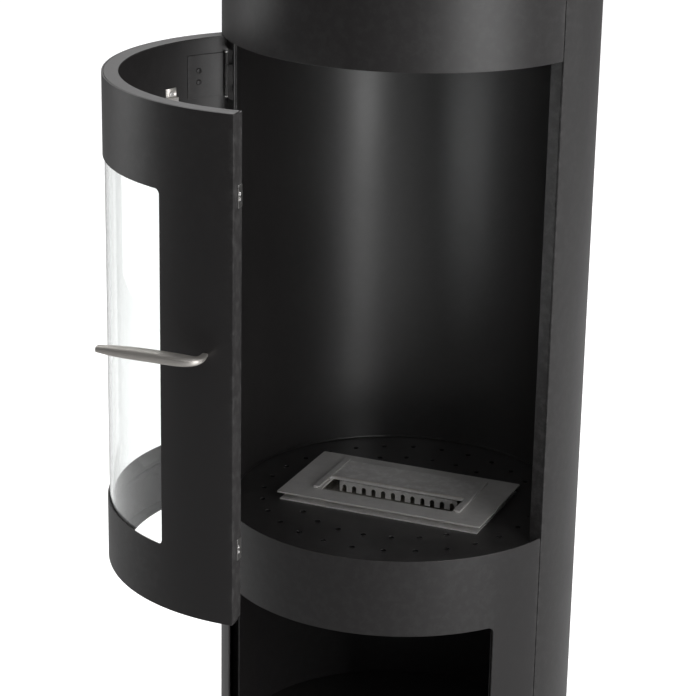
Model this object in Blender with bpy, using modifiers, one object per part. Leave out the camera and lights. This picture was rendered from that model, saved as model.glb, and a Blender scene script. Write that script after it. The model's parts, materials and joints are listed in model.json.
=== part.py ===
"""Free-standing cylindrical bioethanol stove, modelled as an assembly of sheet-metal parts.

Metres, +Z up, the floor at z = 0 and the body's axis on the Z axis. The front faces -Y and +X is
the right-hand side. A bearing is an angle about Z, in degrees, counted from the front towards the
right, so a place is (radius * sin(bearing), -radius * cos(bearing)). The door stands open.
"""

import math

import bmesh
import bpy
from mathutils import Matrix, Vector

# Driving dimensions
BODY_RADIUS = 0.225
SHEET = 0.002
GAP = 0.0003
ARC_STEP = 3.0
SEAM = 68.9
SEAM_GAP = 0.15

# Heights of the body
SHELL_LOW = 0.003
NICHE_LOW = 0.080
NICHE_HIGH = 0.340
OPENING_LOW = 0.438
OPENING_HEIGHT = 2.606 * BODY_RADIUS
OPENING_HIGH = OPENING_LOW + OPENING_HEIGHT
BODY_HIGH = 1.110
FLOOR_DROP = 0.009
CEILING_RISE = 0.004
TOP_RECESS = 0.006
BASE_THICKNESS = 0.008

# Plan of the body
SHELL_INNER = BODY_RADIUS - SHEET
DISC_RADIUS = SHELL_INNER - 0.0005
LINER_OUTER = 0.2100
LINER_SHEET = 0.0015
JAMB_INNER = 0.2070
JAMB_SHEET = 0.002
NICHE_HALF_ANGLE = 50.3
NICHE_CORNER = 0.008

# Floor disc
FLOOR_TOP = OPENING_LOW - FLOOR_DROP
FLOOR_HOLE_RADIUS = 0.0035
FLOOR_RINGS = ((0.173, 28), (0.133, 24))
CUTOUT = (0.250, 0.136)

# Door, as it lies closed, and its hinge
DOOR_ANGLE = 68.3
DOOR_OPEN = 66.2
DOOR_SHEET = 0.0018
DOOR_LOW = OPENING_LOW + 0.0068
DOOR_HIGH = OPENING_HIGH - 0.0029
DOOR_INNER = BODY_RADIUS - DOOR_SHEET
FLANGE_INNER = 0.2063
FLANGE_SHEET = 0.002
WINDOW_ANGLE = 44.4
WINDOW_LOW = OPENING_LOW + 0.366 * BODY_RADIUS
WINDOW_HIGH = OPENING_LOW + 2.176 * BODY_RADIUS
WINDOW_CORNER = 0.006
HINGE_BEARING = -67.2
HINGE_RADIUS = 0.2195
HINGE_HEIGHT = 0.052
HINGE_MIDDLES = (OPENING_LOW + 0.0543, OPENING_LOW + 0.5335)
LEAF_END = -54.0
LEAF_SCREW_BEARING = -58.0
KNUCKLE_RADIUS = 0.0026
KNUCKLE_MIDDLE = 0.024
BORE_RADIUS = 0.0015
PIN_RADIUS = 0.0012

# Glass and its clips
GLASS_OUTER = DOOR_INNER - 0.0004
GLASS_THICKNESS = 0.004
GLASS_ANGLE = 50.0
GLASS_MARGIN = 0.022
CLIP_BEARING = 47.3
CLIP_SCREW_OUT = 0.028
CLIP_FOOT = 0.0012
CLIP_SEAT = 0.0006

# Small pan-head screws: shank, the clearance bore round it, head, and how far they reach
SHANK_RADIUS = 0.0014
SHANK_BORE = 0.0018
SHANK_LENGTH = 0.0026
HEAD_RADIUS = 0.0034
HEAD_HEIGHT = 0.0016

# Latch edge
CATCH_MIDDLES = (OPENING_LOW + 0.092, OPENING_LOW + 0.492)
MAGNET_SPREAD = 0.0028
MAGNET_RADIAL = 0.2090
MAGNET_RADIUS = 0.0020
MAGNET_HEIGHT = 0.0014

# Handle: places on the closed door's plan, across and to the front, in body radii
HANDLE_PLAN = ((0.868, 0.501), (0.920, 0.514), (0.958, 0.540), (0.955, 0.590), (0.918, 0.668),
               (0.874, 0.755), (0.834, 0.850), (0.795, 0.946), (0.766, 1.009))
HANDLE_WIDTHS = (0.42, 0.50, 0.80, 1.0, 1.0, 1.0, 1.0, 0.95, 0.72)
HANDLE_HEIGHT = OPENING_LOW + 0.318
HANDLE_HALF_DEPTH = 0.0095
HANDLE_FLATNESS = 0.63
HANDLE_SCREW = 0.0011
HANDLE_BORE = 0.0014

# Burner, in its own frame, turned a little in its cut-out
BURNER_TURN = -2.5
PLATE = (0.272, 0.152, 0.002)
PLATE_TOP = FLOOR_TOP + 0.0113
PLATE_LOW = PLATE_TOP - PLATE[2]
TANK = (0.240, 0.120)
TANK_DEPTH = 0.072
TANK_WALL = 0.0015
TANK_FLANGE = (0.264, 0.149)
MOUTH_HALF = 0.088
MOUTH_FRONT = -0.045
MOUTH_BACK = -0.005
SLIDER_HALF = 0.0922
SLIDER_FRONT = -0.0095
SLIDER_BACK = 0.055
SLIDER_SHEET = 0.0015
LIP_HALF = 0.0895
LIP_HEIGHT = 0.0055
GUIDE_INNER = 0.0926
GUIDE_OUTER = 0.0985
BAFFLE_DROP = 0.014
BAFFLE_TEETH = 12
BAFFLE_HEAD = 0.0075


def clear_scene():
    for item in list(bpy.data.objects):
        bpy.data.objects.remove(item, do_unlink=True)


def new_collection(name):
    collection = bpy.data.collections.new(name)
    bpy.context.scene.collection.children.link(collection)
    return collection


def new_material(name, colour, roughness, metallic):
    material = bpy.data.materials.new(name)
    material.use_nodes = True
    shader = material.node_tree.nodes["Principled BSDF"]
    shader.inputs["Base Color"].default_value = (*colour, 1.0)
    shader.inputs["Roughness"].default_value = roughness
    shader.inputs["Metallic"].default_value = metallic
    material.diffuse_color = (*colour, 1.0)
    return material


clear_scene()
STOVE = new_collection("bioethanol_stove")
CUTTERS = new_collection("cutters")

BLACK_COAT = new_material("black_powder_coat", (0.028, 0.027, 0.028), 0.48, 0.0)
HEAT_PAINT = new_material("black_heat_paint", (0.016, 0.016, 0.017), 0.62, 0.0)
BURNER_STEEL = new_material("blackened_burner_steel", (0.075, 0.073, 0.074), 0.42, 0.6)
BRUSHED = new_material("brushed_steel", (0.47, 0.45, 0.43), 0.34, 1.0)
BRIGHT = new_material("bright_steel", (0.72, 0.71, 0.70), 0.25, 1.0)
GLASS = new_material("ceramic_glass", (0.90, 0.93, 0.92), 0.04, 0.0)
WOOL = new_material("ceramic_wool", (0.62, 0.60, 0.56), 0.95, 0.0)


def new_pivot(name, place, turn):
    """An empty that carries a group modelled as if it stood unturned."""
    pivot = bpy.data.objects.new(name, None)
    pivot.location = place
    pivot.rotation_euler.z = math.radians(turn)
    STOVE.objects.link(pivot)
    return pivot


def bearing_point(radius, bearing, height=0.0):
    angle = math.radians(bearing)
    return Vector((radius * math.sin(angle), -radius * math.cos(angle), height))


def polar(radius, bearing, height):
    """Local +X runs round to the right, local -Y points outwards."""
    return Matrix.Rotation(math.radians(bearing), 4, "Z") @ Matrix.Translation((0, -radius, height))


DOOR_PIVOT = new_pivot("door_pivot", bearing_point(HINGE_RADIUS, HINGE_BEARING), -DOOR_OPEN)
BURNER_PIVOT = new_pivot("burner_pivot", (0, 0, 0), BURNER_TURN)


def place(item, matrix, pivot):
    item.matrix_local = matrix
    if pivot:
        item.parent = pivot
        item.matrix_parent_inverse = Matrix.Translation(-pivot.location)


def new_piece(name, mesh, material, matrix=Matrix.Identity(4), pivot=None):
    item = bpy.data.objects.new(name, mesh)
    STOVE.objects.link(item)
    mesh.materials.append(material)
    place(item, matrix, pivot)
    return item


def new_cutter(name, mesh, matrix=Matrix.Identity(4), pivot=None):
    item = bpy.data.objects.new(name, mesh)
    CUTTERS.objects.link(item)
    item.hide_render = True
    item.display_type = "WIRE"
    place(item, matrix, pivot)
    return item


def combine(item, other, operation):
    change = item.modifiers.new(operation.lower(), "BOOLEAN")
    change.operation = operation
    change.solver = "EXACT"
    change.object = other


def bevel(item, width, segments):
    change = item.modifiers.new("bevel", "BEVEL")
    change.width = width
    change.segments = segments
    change.limit_method = "ANGLE"
    change.angle_limit = math.radians(40)


def box_mesh(name, low, high):
    shape = bmesh.new()
    bmesh.ops.create_cube(shape, size=1.0)
    low, high = Vector(low), Vector(high)
    bmesh.ops.scale(shape, vec=high - low, verts=shape.verts)
    bmesh.ops.translate(shape, vec=(low + high) / 2, verts=shape.verts)
    mesh = bpy.data.meshes.new(name)
    shape.to_mesh(mesh)
    shape.free()
    return mesh


def rods_mesh(name, rods, sides):
    """Upright cylinders, each given as (x, y, low, high, radius), in one mesh."""
    shape = bmesh.new()
    for x, y, low, high, radius in rods:
        middle = Matrix.Translation((x, y, (low + high) / 2))
        bmesh.ops.create_cone(shape, cap_ends=True, segments=sides, radius1=radius,
                              radius2=radius, depth=high - low, matrix=middle)
    mesh = bpy.data.meshes.new(name)
    shape.to_mesh(mesh)
    shape.free()
    return mesh


def smooth(item):
    item.data.shade_smooth()
    item.data.set_sharp_from_angle(angle=math.radians(30))


def turn_profile(item, profile, start, end, thickness):
    """Sweep the profile's (radius, height) line between two bearings and give it a thickness.

    The line runs down its outer side, and the thickness grows to the other side of it.
    """
    item.data.from_pydata([(radius, 0, height) for radius, height in profile],
                          [(index, index + 1) for index in range(len(profile) - 1)], [])
    sweep = item.modifiers.new("sweep", "SCREW")
    sweep.axis = "Z"
    sweep.angle = math.radians(end - start)
    sweep.steps = max(2, math.ceil((end - start) / ARC_STEP))
    sweep.render_steps = sweep.steps
    sweep.screw_offset = 0.0
    wall = item.modifiers.new("wall", "SOLIDIFY")
    wall.thickness = thickness
    wall.offset = -1.0
    wall.use_even_offset = True


def sheet_arc(name, material, outer, thickness, start, end, low, high, pivot=None):
    """A rolled upright sheet."""
    turn = Matrix.Rotation(math.radians(start - 90), 4, "Z")
    item = new_piece(name, bpy.data.meshes.new(name), material, turn, pivot)
    turn_profile(item, ((outer, high), (outer, low)), start, end, thickness)
    return item


def flat_arc(name, material, inner, outer, thickness, half_angle, top, pivot=None):
    """A flat ring segment, symmetric about the front."""
    turn = Matrix.Rotation(math.radians(-half_angle - 90), 4, "Z")
    item = new_piece(name, bpy.data.meshes.new(name), material, turn, pivot)
    turn_profile(item, ((inner, top), (outer, top)), -half_angle, half_angle, thickness)
    return item


def window_cutter(name, half_angle, low, high, corner, pivot=None):
    """Cuts a window with rounded corners through a rolled sheet of the body's radius."""
    reach = 0.03
    turn = Matrix.Rotation(math.radians(-half_angle - 90), 4, "Z")
    item = new_cutter(name, bpy.data.meshes.new(name), turn, pivot)
    outer = BODY_RADIUS + reach
    turn_profile(item, ((outer, high), (outer, low)), -half_angle, half_angle, 2 * reach)
    bevel(item, corner, 4)
    return item


def disc(name, material, radius, low, high):
    bpy.ops.mesh.primitive_cylinder_add(vertices=96, radius=radius, depth=high - low,
                                        location=(0, 0, (low + high) / 2))
    item = bpy.context.object
    item.name = name
    item.data.name = name
    item.data.materials.append(material)
    for collection in list(item.users_collection):
        collection.objects.unlink(item)
    STOVE.objects.link(item)
    return item


def block(name, material, low, high, matrix=Matrix.Identity(4), pivot=None):
    return new_piece(name, box_mesh(name, low, high), material, matrix, pivot)


# ---------------------------------------------------------------- body

def build_body_sheets():
    front = SEAM - SEAM_GAP
    side = SEAM + SEAM_GAP
    sheet_arc("outer_shell", BLACK_COAT, BODY_RADIUS, SHEET, side, 360 - side,
              SHELL_LOW, BODY_HIGH)
    sheet_arc("top_front_band", BLACK_COAT, BODY_RADIUS, SHEET, -front, front,
              OPENING_HIGH, BODY_HIGH)
    panel = sheet_arc("lower_front_panel", BLACK_COAT, BODY_RADIUS, SHEET, -front, front,
                      SHELL_LOW, OPENING_LOW)
    combine(panel, window_cutter("niche_cutter", NICHE_HALF_ANGLE, NICHE_LOW, NICHE_HIGH,
                                 NICHE_CORNER), "DIFFERENCE")


def build_jamb(name, side):
    """A flat post on edge beside the opening; side is -1 for left and 1 for right."""
    across = SEAM + SEAM_GAP
    depth = SHELL_INNER - GAP - JAMB_INNER
    near, far = sorted((0.0, side * JAMB_SHEET))
    return block(name, BLACK_COAT, (near, -depth, FLOOR_TOP + GAP),
                 (far, 0, OPENING_HIGH + CEILING_RISE - GAP), polar(JAMB_INNER, side * across, 0))


def build_firebox():
    jamb_angle = math.degrees((JAMB_SHEET + GAP) / LINER_OUTER)
    start = SEAM + SEAM_GAP + jamb_angle + 0.1
    sheet_arc("firebox_liner", HEAT_PAINT, LINER_OUTER, LINER_SHEET, start, 360 - start,
              FLOOR_TOP + GAP, OPENING_HIGH + CEILING_RISE - GAP)
    build_jamb("left_jamb", -1)
    build_jamb("right_jamb", 1)
    ceiling_low = OPENING_HIGH + CEILING_RISE
    ceiling = disc("firebox_ceiling", HEAT_PAINT, DISC_RADIUS, ceiling_low,
                   ceiling_low + LINER_SHEET)
    vent_ring, vent_radius, vents = 0.120, 0.009, 12
    holes = [(*bearing_point(vent_ring, 360 * index / vents).xy, ceiling_low - SHEET,
              ceiling_low + 2 * SHEET, vent_radius) for index in range(vents)]
    combine(ceiling, new_cutter("ceiling_vents", rods_mesh("ceiling_vents", holes, 10)),
            "DIFFERENCE")


def build_floor():
    floor = disc("firebox_floor", HEAT_PAINT, DISC_RADIUS, FLOOR_TOP - SHEET, FLOOR_TOP)
    clear = TANK_FLANGE[1] / 2 + 3 * FLOOR_HOLE_RADIUS
    holes = []
    for ring, count in FLOOR_RINGS:
        for index in range(count):
            point = bearing_point(ring, 360 * index / count)
            if ring > PLATE[0] / 2 + clear / 3 or abs(point.y) > clear:
                holes.append((*point.xy, FLOOR_TOP - 2 * SHEET, FLOOR_TOP + SHEET,
                              FLOOR_HOLE_RADIUS))
    combine(floor, new_cutter("floor_holes", rods_mesh("floor_holes", holes, 8)), "DIFFERENCE")
    half_x, half_y = CUTOUT[0] / 2, CUTOUT[1] / 2
    hole = box_mesh("floor_cutout", (-half_x, -half_y, FLOOR_TOP - 2 * SHEET),
                    (half_x, half_y, FLOOR_TOP + SHEET))
    combine(floor, new_cutter("floor_cutout", hole), "DIFFERENCE")


def build_top():
    top = BODY_HIGH - TOP_RECESS
    plate = disc("top_plate", BLACK_COAT, DISC_RADIUS, top - SHEET, top)
    slots, slot_half, near, far = 16, 0.003, 0.085, 0.150
    for index in range(slots):
        mesh = box_mesh("top_slot", (-slot_half, -far, -2 * SHEET), (slot_half, -near, SHEET))
        matrix = Matrix.Translation((0, 0, top)) @ polar(0, 360 * index / slots, 0)
        combine(plate, new_cutter(f"top_slot_{index}", mesh, matrix), "DIFFERENCE")


def build_niche_and_base():
    disc("niche_ceiling", BLACK_COAT, DISC_RADIUS, NICHE_HIGH + 0.0015, NICHE_HIGH + 0.003)
    disc("niche_floor", BLACK_COAT, DISC_RADIUS, NICHE_LOW - 0.0035, NICHE_LOW - 0.002)
    start = NICHE_HALF_ANGLE + 2
    sheet_arc("niche_liner", BLACK_COAT, LINER_OUTER, LINER_SHEET, start, 360 - start,
              NICHE_LOW - 0.002 + GAP, NICHE_HIGH + 0.0015 - GAP)
    disc("base_plate", BLACK_COAT, DISC_RADIUS - 0.001, 0.0, BASE_THICKNESS)


# ---------------------------------------------------------------- door

def build_door_shell():
    skin = sheet_arc("door_skin", BLACK_COAT, BODY_RADIUS, DOOR_SHEET, -DOOR_ANGLE, DOOR_ANGLE,
                     DOOR_LOW, DOOR_HIGH, DOOR_PIVOT)
    combine(skin, window_cutter("window_cutter", WINDOW_ANGLE, WINDOW_LOW, WINDOW_HIGH,
                                WINDOW_CORNER, DOOR_PIVOT), "DIFFERENCE")
    flange_angle = DOOR_ANGLE - 0.75
    flange_outer = DOOR_INNER - GAP
    flat_arc("door_top_flange", BLACK_COAT, FLANGE_INNER, flange_outer, FLANGE_SHEET,
             flange_angle, DOOR_HIGH, DOOR_PIVOT)
    flat_arc("door_bottom_flange", BLACK_COAT, FLANGE_INNER, flange_outer, FLANGE_SHEET,
             flange_angle, DOOR_LOW + FLANGE_SHEET, DOOR_PIVOT)
    return skin


def build_stiles():
    """The upright flanges on the door's two edges."""
    outer = DOOR_INNER - GAP
    latch_inner, latch_sheet = 0.1990, 0.0016
    block("door_latch_stile", BLACK_COAT, (-latch_sheet, latch_inner - outer, DOOR_LOW),
          (0, 0, DOOR_HIGH), polar(latch_inner, DOOR_ANGLE, 0), DOOR_PIVOT)
    hinge_inner, hinge_sheet, strip = 0.2030, 0.0012, 0.0035
    stile = block("door_hinge_stile", BLACK_COAT, (0, hinge_inner - outer, DOOR_LOW),
                  (hinge_sheet, 0, DOOR_HIGH), polar(hinge_inner, -DOOR_ANGLE, 0), DOOR_PIVOT)
    half = HINGE_HEIGHT / 2 + 0.004
    for index, middle in enumerate(HINGE_MIDDLES):
        notch = box_mesh("stile_notch", (-0.004, -0.03, -half), (0.004, -strip, half))
        matrix = polar(hinge_inner, -DOOR_ANGLE, middle)
        combine(stile, new_cutter(f"stile_notch_{index}", notch, matrix, DOOR_PIVOT),
                "DIFFERENCE")


def build_glass():
    sheet_arc("door_glass", GLASS, GLASS_OUTER, GLASS_THICKNESS, -GLASS_ANGLE, GLASS_ANGLE,
              WINDOW_LOW - GLASS_MARGIN, WINDOW_HIGH + GLASS_MARGIN, DOOR_PIVOT)
    for row, edge, up in (("lower", WINDOW_LOW, -1), ("upper", WINDOW_HIGH, 1)):
        for column, side in (("left", -1), ("right", 1)):
            build_clip(f"{row}_{column}", side * CLIP_BEARING, edge, up)


def build_clip(tag, bearing, edge, up):
    """A bent clip: a foot on the skin beyond the glass and a tongue over the glass."""
    half_width, tongue = 0.008, 0.0012
    inner_face = GLASS_OUTER - GLASS_THICKNESS - CLIP_SEAT
    matrix = polar(inner_face, bearing, edge)
    foot_out = -(DOOR_INNER - CLIP_SEAT - inner_face)
    riser_near, riser_far = GLASS_MARGIN + 0.001, GLASS_MARGIN + 0.0022

    def span(low, high):
        return sorted((up * low, up * high))

    low, high = span(GLASS_MARGIN - 0.008, riser_far)
    clip = block(f"glass_clip_{tag}", BRIGHT, (-half_width, 0, low), (half_width, tongue, high),
                 matrix, DOOR_PIVOT)
    low, high = span(riser_near, riser_far)
    riser = new_cutter(f"clip_riser_{tag}", box_mesh("clip_riser", (-half_width, foot_out, low),
                       (half_width, tongue, high)), matrix, DOOR_PIVOT)
    low, high = span(riser_near, CLIP_SCREW_OUT + 0.007)
    pad = new_cutter(f"clip_pad_{tag}", box_mesh("clip_pad", (-half_width, foot_out, low),
                     (half_width, foot_out + CLIP_FOOT, high)), matrix, DOOR_PIVOT)
    combine(clip, riser, "UNION")
    combine(clip, pad, "UNION")
    frame = matrix @ Matrix.Translation((0, foot_out + CLIP_FOOT + GAP, up * CLIP_SCREW_OUT))
    build_door_screw(f"clip_screw_{tag}", frame, clip)


def radial_rod(name, radius, near, far):
    """A cylinder along local Y, from near to far."""
    shape = bmesh.new()
    turn = Matrix.Translation((0, (near + far) / 2, 0)) @ Matrix.Rotation(math.pi / 2, 4, "X")
    bmesh.ops.create_cone(shape, cap_ends=True, segments=12, radius1=radius, radius2=radius,
                          depth=far - near, matrix=turn)
    mesh = bpy.data.meshes.new(name)
    shape.to_mesh(mesh)
    shape.free()
    return mesh


def build_screw(name, matrix, shank, shank_length, head, head_height, pivot=DOOR_PIVOT,
                material=BRIGHT):
    """A pan-head screw whose head stands at local +Y of its origin and whose shank runs to -Y."""
    item = new_piece(name, radial_rod(name, head, 0.0, head_height), material, matrix, pivot)
    stem = new_cutter(f"{name}_shank", radial_rod("shank", shank, -shank_length, head_height / 2),
                      matrix, pivot)
    combine(item, stem, "UNION")


def build_door_screw(name, matrix, held, material=BRIGHT):
    """A small screw that holds a piece to the skin, in a bore that stops short of the outside."""
    build_screw(name, matrix, SHANK_RADIUS, SHANK_LENGTH, HEAD_RADIUS, HEAD_HEIGHT,
                material=material)
    for host in (held, bpy.data.objects["door_skin"]):
        rod = radial_rod("bore", SHANK_BORE, -(SHANK_LENGTH + GAP), HEAD_HEIGHT)
        combine(host, new_cutter(f"{name}_bore_{host.name}", rod, matrix, DOOR_PIVOT),
                "DIFFERENCE")


# ---------------------------------------------------------------- hinges and catches

def build_hinges():
    for tag, middle in zip(("lower", "upper"), HINGE_MIDDLES):
        build_hinge_leaf(tag, middle)
        build_hinge_bracket(tag, middle)
        half = HINGE_HEIGHT / 2 + 0.002
        axis = bearing_point(HINGE_RADIUS, HINGE_BEARING)
        pin = rods_mesh(f"{tag}_hinge_pin", [(*axis.xy, middle - half, middle + half,
                                              PIN_RADIUS)], 16)
        new_piece(f"{tag}_hinge_pin", pin, BRIGHT)


def build_hinge_leaf(tag, middle):
    """The door's half: two knuckles on a curved leaf screwed to the inside of the skin."""
    half = HINGE_HEIGHT / 2
    leaf_sheet = 0.0012
    leaf = sheet_arc(f"{tag}_hinge_leaf", BLACK_COAT, DOOR_INNER - GAP, leaf_sheet, HINGE_BEARING,
                     LEAF_END, middle - half, middle + half, DOOR_PIVOT)
    axis = bearing_point(HINGE_RADIUS, HINGE_BEARING)
    barrel = rods_mesh("barrel", [(*axis.xy, middle - half, middle + half, KNUCKLE_RADIUS)], 20)
    combine(leaf, new_cutter(f"{tag}_leaf_barrel", barrel, pivot=DOOR_PIVOT), "UNION")
    reach = KNUCKLE_MIDDLE / 2
    middle_gap = rods_mesh("gap", [(*axis.xy, middle - reach, middle + reach,
                                    KNUCKLE_RADIUS + 0.0009)], 20)
    combine(leaf, new_cutter(f"{tag}_leaf_gap", middle_gap, pivot=DOOR_PIVOT), "DIFFERENCE")
    bore = rods_mesh("bore", [(*axis.xy, middle - 2 * half, middle + 2 * half, BORE_RADIUS)], 16)
    combine(leaf, new_cutter(f"{tag}_leaf_bore", bore, pivot=DOOR_PIVOT), "DIFFERENCE")
    for index, rise in enumerate((-0.007, 0.007)):
        matrix = polar(DOOR_INNER - leaf_sheet - 2 * GAP, LEAF_SCREW_BEARING, middle + rise)
        build_door_screw(f"{tag}_leaf_screw_{index + 1}", matrix, leaf, BLACK_COAT)


def build_hinge_bracket(tag, middle):
    """The body's half: a knuckle on a bent arm that reaches in and round to the left jamb."""
    half = KNUCKLE_MIDDLE / 2 - GAP
    hinge = polar(HINGE_RADIUS, HINGE_BEARING, middle)
    jamb = polar(HINGE_RADIUS, -SEAM - SEAM_GAP, middle)
    arm_half, reach_in = 0.0011, 0.0105
    foot_sheet, foot_near, foot_far, foot_half = 0.0015, 0.0078, 0.0124, 0.024
    elbow_end = foot_sheet - HINGE_RADIUS * math.radians(SEAM + SEAM_GAP + HINGE_BEARING)
    arm = block(f"{tag}_hinge_bracket", BLACK_COAT, (-arm_half, 0, -half),
                (arm_half, reach_in, half), hinge)
    parts = {
        "elbow": (hinge, (elbow_end, reach_in - 2 * arm_half, -half), (arm_half, reach_in, half)),
        "foot": (jamb, (GAP, foot_near, -foot_half), (GAP + foot_sheet, foot_far, foot_half)),
    }
    for part, (frame, low, high) in parts.items():
        combine(arm, new_cutter(f"{tag}_bracket_{part}", box_mesh(part, low, high), frame),
                "UNION")
    knuckle = rods_mesh("knuckle", [(0, 0, -half, half, KNUCKLE_RADIUS)], 20)
    combine(arm, new_cutter(f"{tag}_bracket_knuckle", knuckle, hinge), "UNION")
    bore = rods_mesh("bore", [(0, 0, -2 * half, 2 * half, BORE_RADIUS)], 16)
    combine(arm, new_cutter(f"{tag}_bracket_bore", bore, hinge), "DIFFERENCE")
    seat = Vector((2 * GAP + foot_sheet, (foot_near + foot_far) / 2, 0))
    for index, rise in enumerate((-0.018, 0.018)):
        frame = jamb @ Matrix.Translation(seat + Vector((0, 0, rise))) \
            @ Matrix.Rotation(-math.pi / 2, 4, "Z")
        build_screw(f"{tag}_bracket_screw_{index + 1}", frame, 0.0011, 0.0044, 0.0020, 0.0011,
                    None, BLACK_COAT)
        for host in (arm, bpy.data.objects["left_jamb"]):
            hole = new_cutter(f"{tag}_bracket_hole_{index}_{host.name}",
                              radial_rod("hole", 0.0015, -0.006, 0.004), frame)
            combine(host, hole, "DIFFERENCE")


def build_catches():
    """Each catch is a steel plate on the door's edge with two round magnets that grip the jamb."""
    half, inner, outer, sheet = 0.0125, 0.2005, 0.2125, 0.0009
    for tag, middle in zip(("lower", "upper"), CATCH_MIDDLES):
        edge = polar(0, DOOR_ANGLE, middle)
        face = GAP + sheet
        strike = block(f"{tag}_catch_plate", BRIGHT, (GAP, -outer, -half), (face, -inner, half),
                       edge, DOOR_PIVOT)
        for index, rise in enumerate((-MAGNET_SPREAD, MAGNET_SPREAD)):
            seat = edge @ Matrix.Translation((face - GAP, -MAGNET_RADIAL, rise)) \
                @ Matrix.Rotation(math.pi / 2, 4, "Y")
            shape = rods_mesh("magnet", [(0, 0, 0, GAP + MAGNET_HEIGHT, MAGNET_RADIUS)], 16)
            combine(strike, new_cutter(f"{tag}_magnet_{index}", shape, seat, DOOR_PIVOT), "UNION")


# ---------------------------------------------------------------- handle

def build_handle():
    """A flattened tapering bar that stands off one fixing and ends free."""
    line = bpy.data.curves.new("handle_line", "CURVE")
    line.dimensions = "3D"
    line.bevel_depth = HANDLE_HALF_DEPTH
    line.bevel_resolution = 3
    line.resolution_u = 4
    line.use_fill_caps = True
    path = line.splines.new("NURBS")
    path.points.add(len(HANDLE_PLAN) - 1)
    path.order_u = 4
    path.use_endpoint_u = True
    for point, (across, front), width in zip(path.points, HANDLE_PLAN, HANDLE_WIDTHS):
        point.co = (across * BODY_RADIUS, -front * BODY_RADIUS, 0.0, 1.0)
        point.radius = width
    guide = bpy.data.objects.new("handle_line", line)
    STOVE.objects.link(guide)
    guide.matrix_world = Matrix.Translation((0, 0, HANDLE_HEIGHT)) \
        @ Matrix.Diagonal((1, 1, HANDLE_FLATNESS, 1))
    bpy.context.view_layer.update()
    shape = bmesh.new()
    evaluated = guide.evaluated_get(bpy.context.evaluated_depsgraph_get())
    shape.from_mesh(bpy.data.meshes.new_from_object(evaluated))
    bmesh.ops.remove_doubles(shape, verts=shape.verts, dist=0.00001)
    shape.transform(guide.matrix_world)
    mesh = bpy.data.meshes.new("handle")
    shape.to_mesh(mesh)
    shape.free()
    bpy.data.objects.remove(guide, do_unlink=True)
    handle = new_piece("handle", mesh, BRUSHED, pivot=DOOR_PIVOT)
    across, front = HANDLE_PLAN[0]
    bearing = math.degrees(math.atan2(across, front))
    frame = polar(DOOR_INNER - GAP, bearing, HANDLE_HEIGHT)
    trim = box_mesh("handle_trim", (-0.02, -(DOOR_SHEET + 2 * GAP), -0.02), (0.02, 0.03, 0.02))
    combine(handle, new_cutter("handle_trim", trim, frame, DOOR_PIVOT), "DIFFERENCE")
    for host in (handle, bpy.data.objects["door_skin"]):
        rod = radial_rod("bore", HANDLE_BORE, -0.0065, 0.004)
        bore = new_cutter(f"handle_bore_{host.name}", rod, frame, DOOR_PIVOT)
        combine(host, bore, "DIFFERENCE")
    build_screw("handle_screw", frame, HANDLE_SCREW, 0.0060, 0.0042, 0.0026)


# ---------------------------------------------------------------- burner

def build_tank():
    half_x, half_y = TANK[0] / 2, TANK[1] / 2
    high = PLATE_LOW - GAP
    low = high - TANK_DEPTH
    tank = block("burner_tank", BURNER_STEEL, (-half_x, -half_y, low), (half_x, half_y, high),
                 pivot=BURNER_PIVOT)
    rim_x, rim_y = TANK_FLANGE[0] / 2, TANK_FLANGE[1] / 2
    rest = FLOOR_TOP + GAP
    flange = box_mesh("tank_flange", (-rim_x, -rim_y, rest), (rim_x, rim_y, rest + TANK_WALL))
    combine(tank, new_cutter("tank_flange", flange, pivot=BURNER_PIVOT), "UNION")
    wall = TANK_WALL
    cavity = box_mesh("tank_cavity", (wall - half_x, wall - half_y, low + wall),
                      (half_x - wall, half_y - wall, high + wall))
    combine(tank, new_cutter("tank_cavity", cavity, pivot=BURNER_PIVOT), "DIFFERENCE")
    gap = wall + 0.0005
    fill_depth = 0.050
    block("burner_filler", WOOL, (gap - half_x, gap - half_y, low + gap),
          (half_x - gap, half_y - gap, low + gap + fill_depth), pivot=BURNER_PIVOT)


def build_burner_top():
    half_x, half_y = PLATE[0] / 2, PLATE[1] / 2
    plate = block("burner_plate", BURNER_STEEL, (-half_x, -half_y, PLATE_LOW),
                  (half_x, half_y, PLATE_TOP), pivot=BURNER_PIVOT)
    bevel(plate, 0.0004, 1)
    mouth = box_mesh("burner_mouth", (-MOUTH_HALF, MOUTH_FRONT, PLATE_LOW - 0.01),
                     (MOUTH_HALF, MOUTH_BACK, PLATE_TOP + 0.01))
    combine(plate, new_cutter("burner_mouth", mouth, pivot=BURNER_PIVOT), "DIFFERENCE")
    build_baffle()
    build_slider()
    for name, side in (("burner_guide_left", -1), ("burner_guide_right", 1)):
        build_guide(name, side)


def build_baffle():
    """A comb that hangs below the back of the mouth."""
    sheet = 0.001
    high = PLATE_LOW - GAP
    low = high - BAFFLE_DROP
    back = MOUTH_BACK + 0.0002
    baffle = block("burner_baffle", BURNER_STEEL, (-MOUTH_HALF, back, low),
                   (MOUTH_HALF, back + sheet, high), pivot=BURNER_PIVOT)
    pitch = 2 * MOUTH_HALF / BAFFLE_TEETH
    for index in range(BAFFLE_TEETH):
        middle = -MOUTH_HALF + (index + 0.5) * pitch
        slot = box_mesh("baffle_slot", (middle - pitch / 4, back - sheet, low - sheet),
                        (middle + pitch / 4, back + 2 * sheet, high - BAFFLE_HEAD))
        combine(baffle, new_cutter(f"baffle_slot_{index}", slot, pivot=BURNER_PIVOT),
                "DIFFERENCE")


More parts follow.
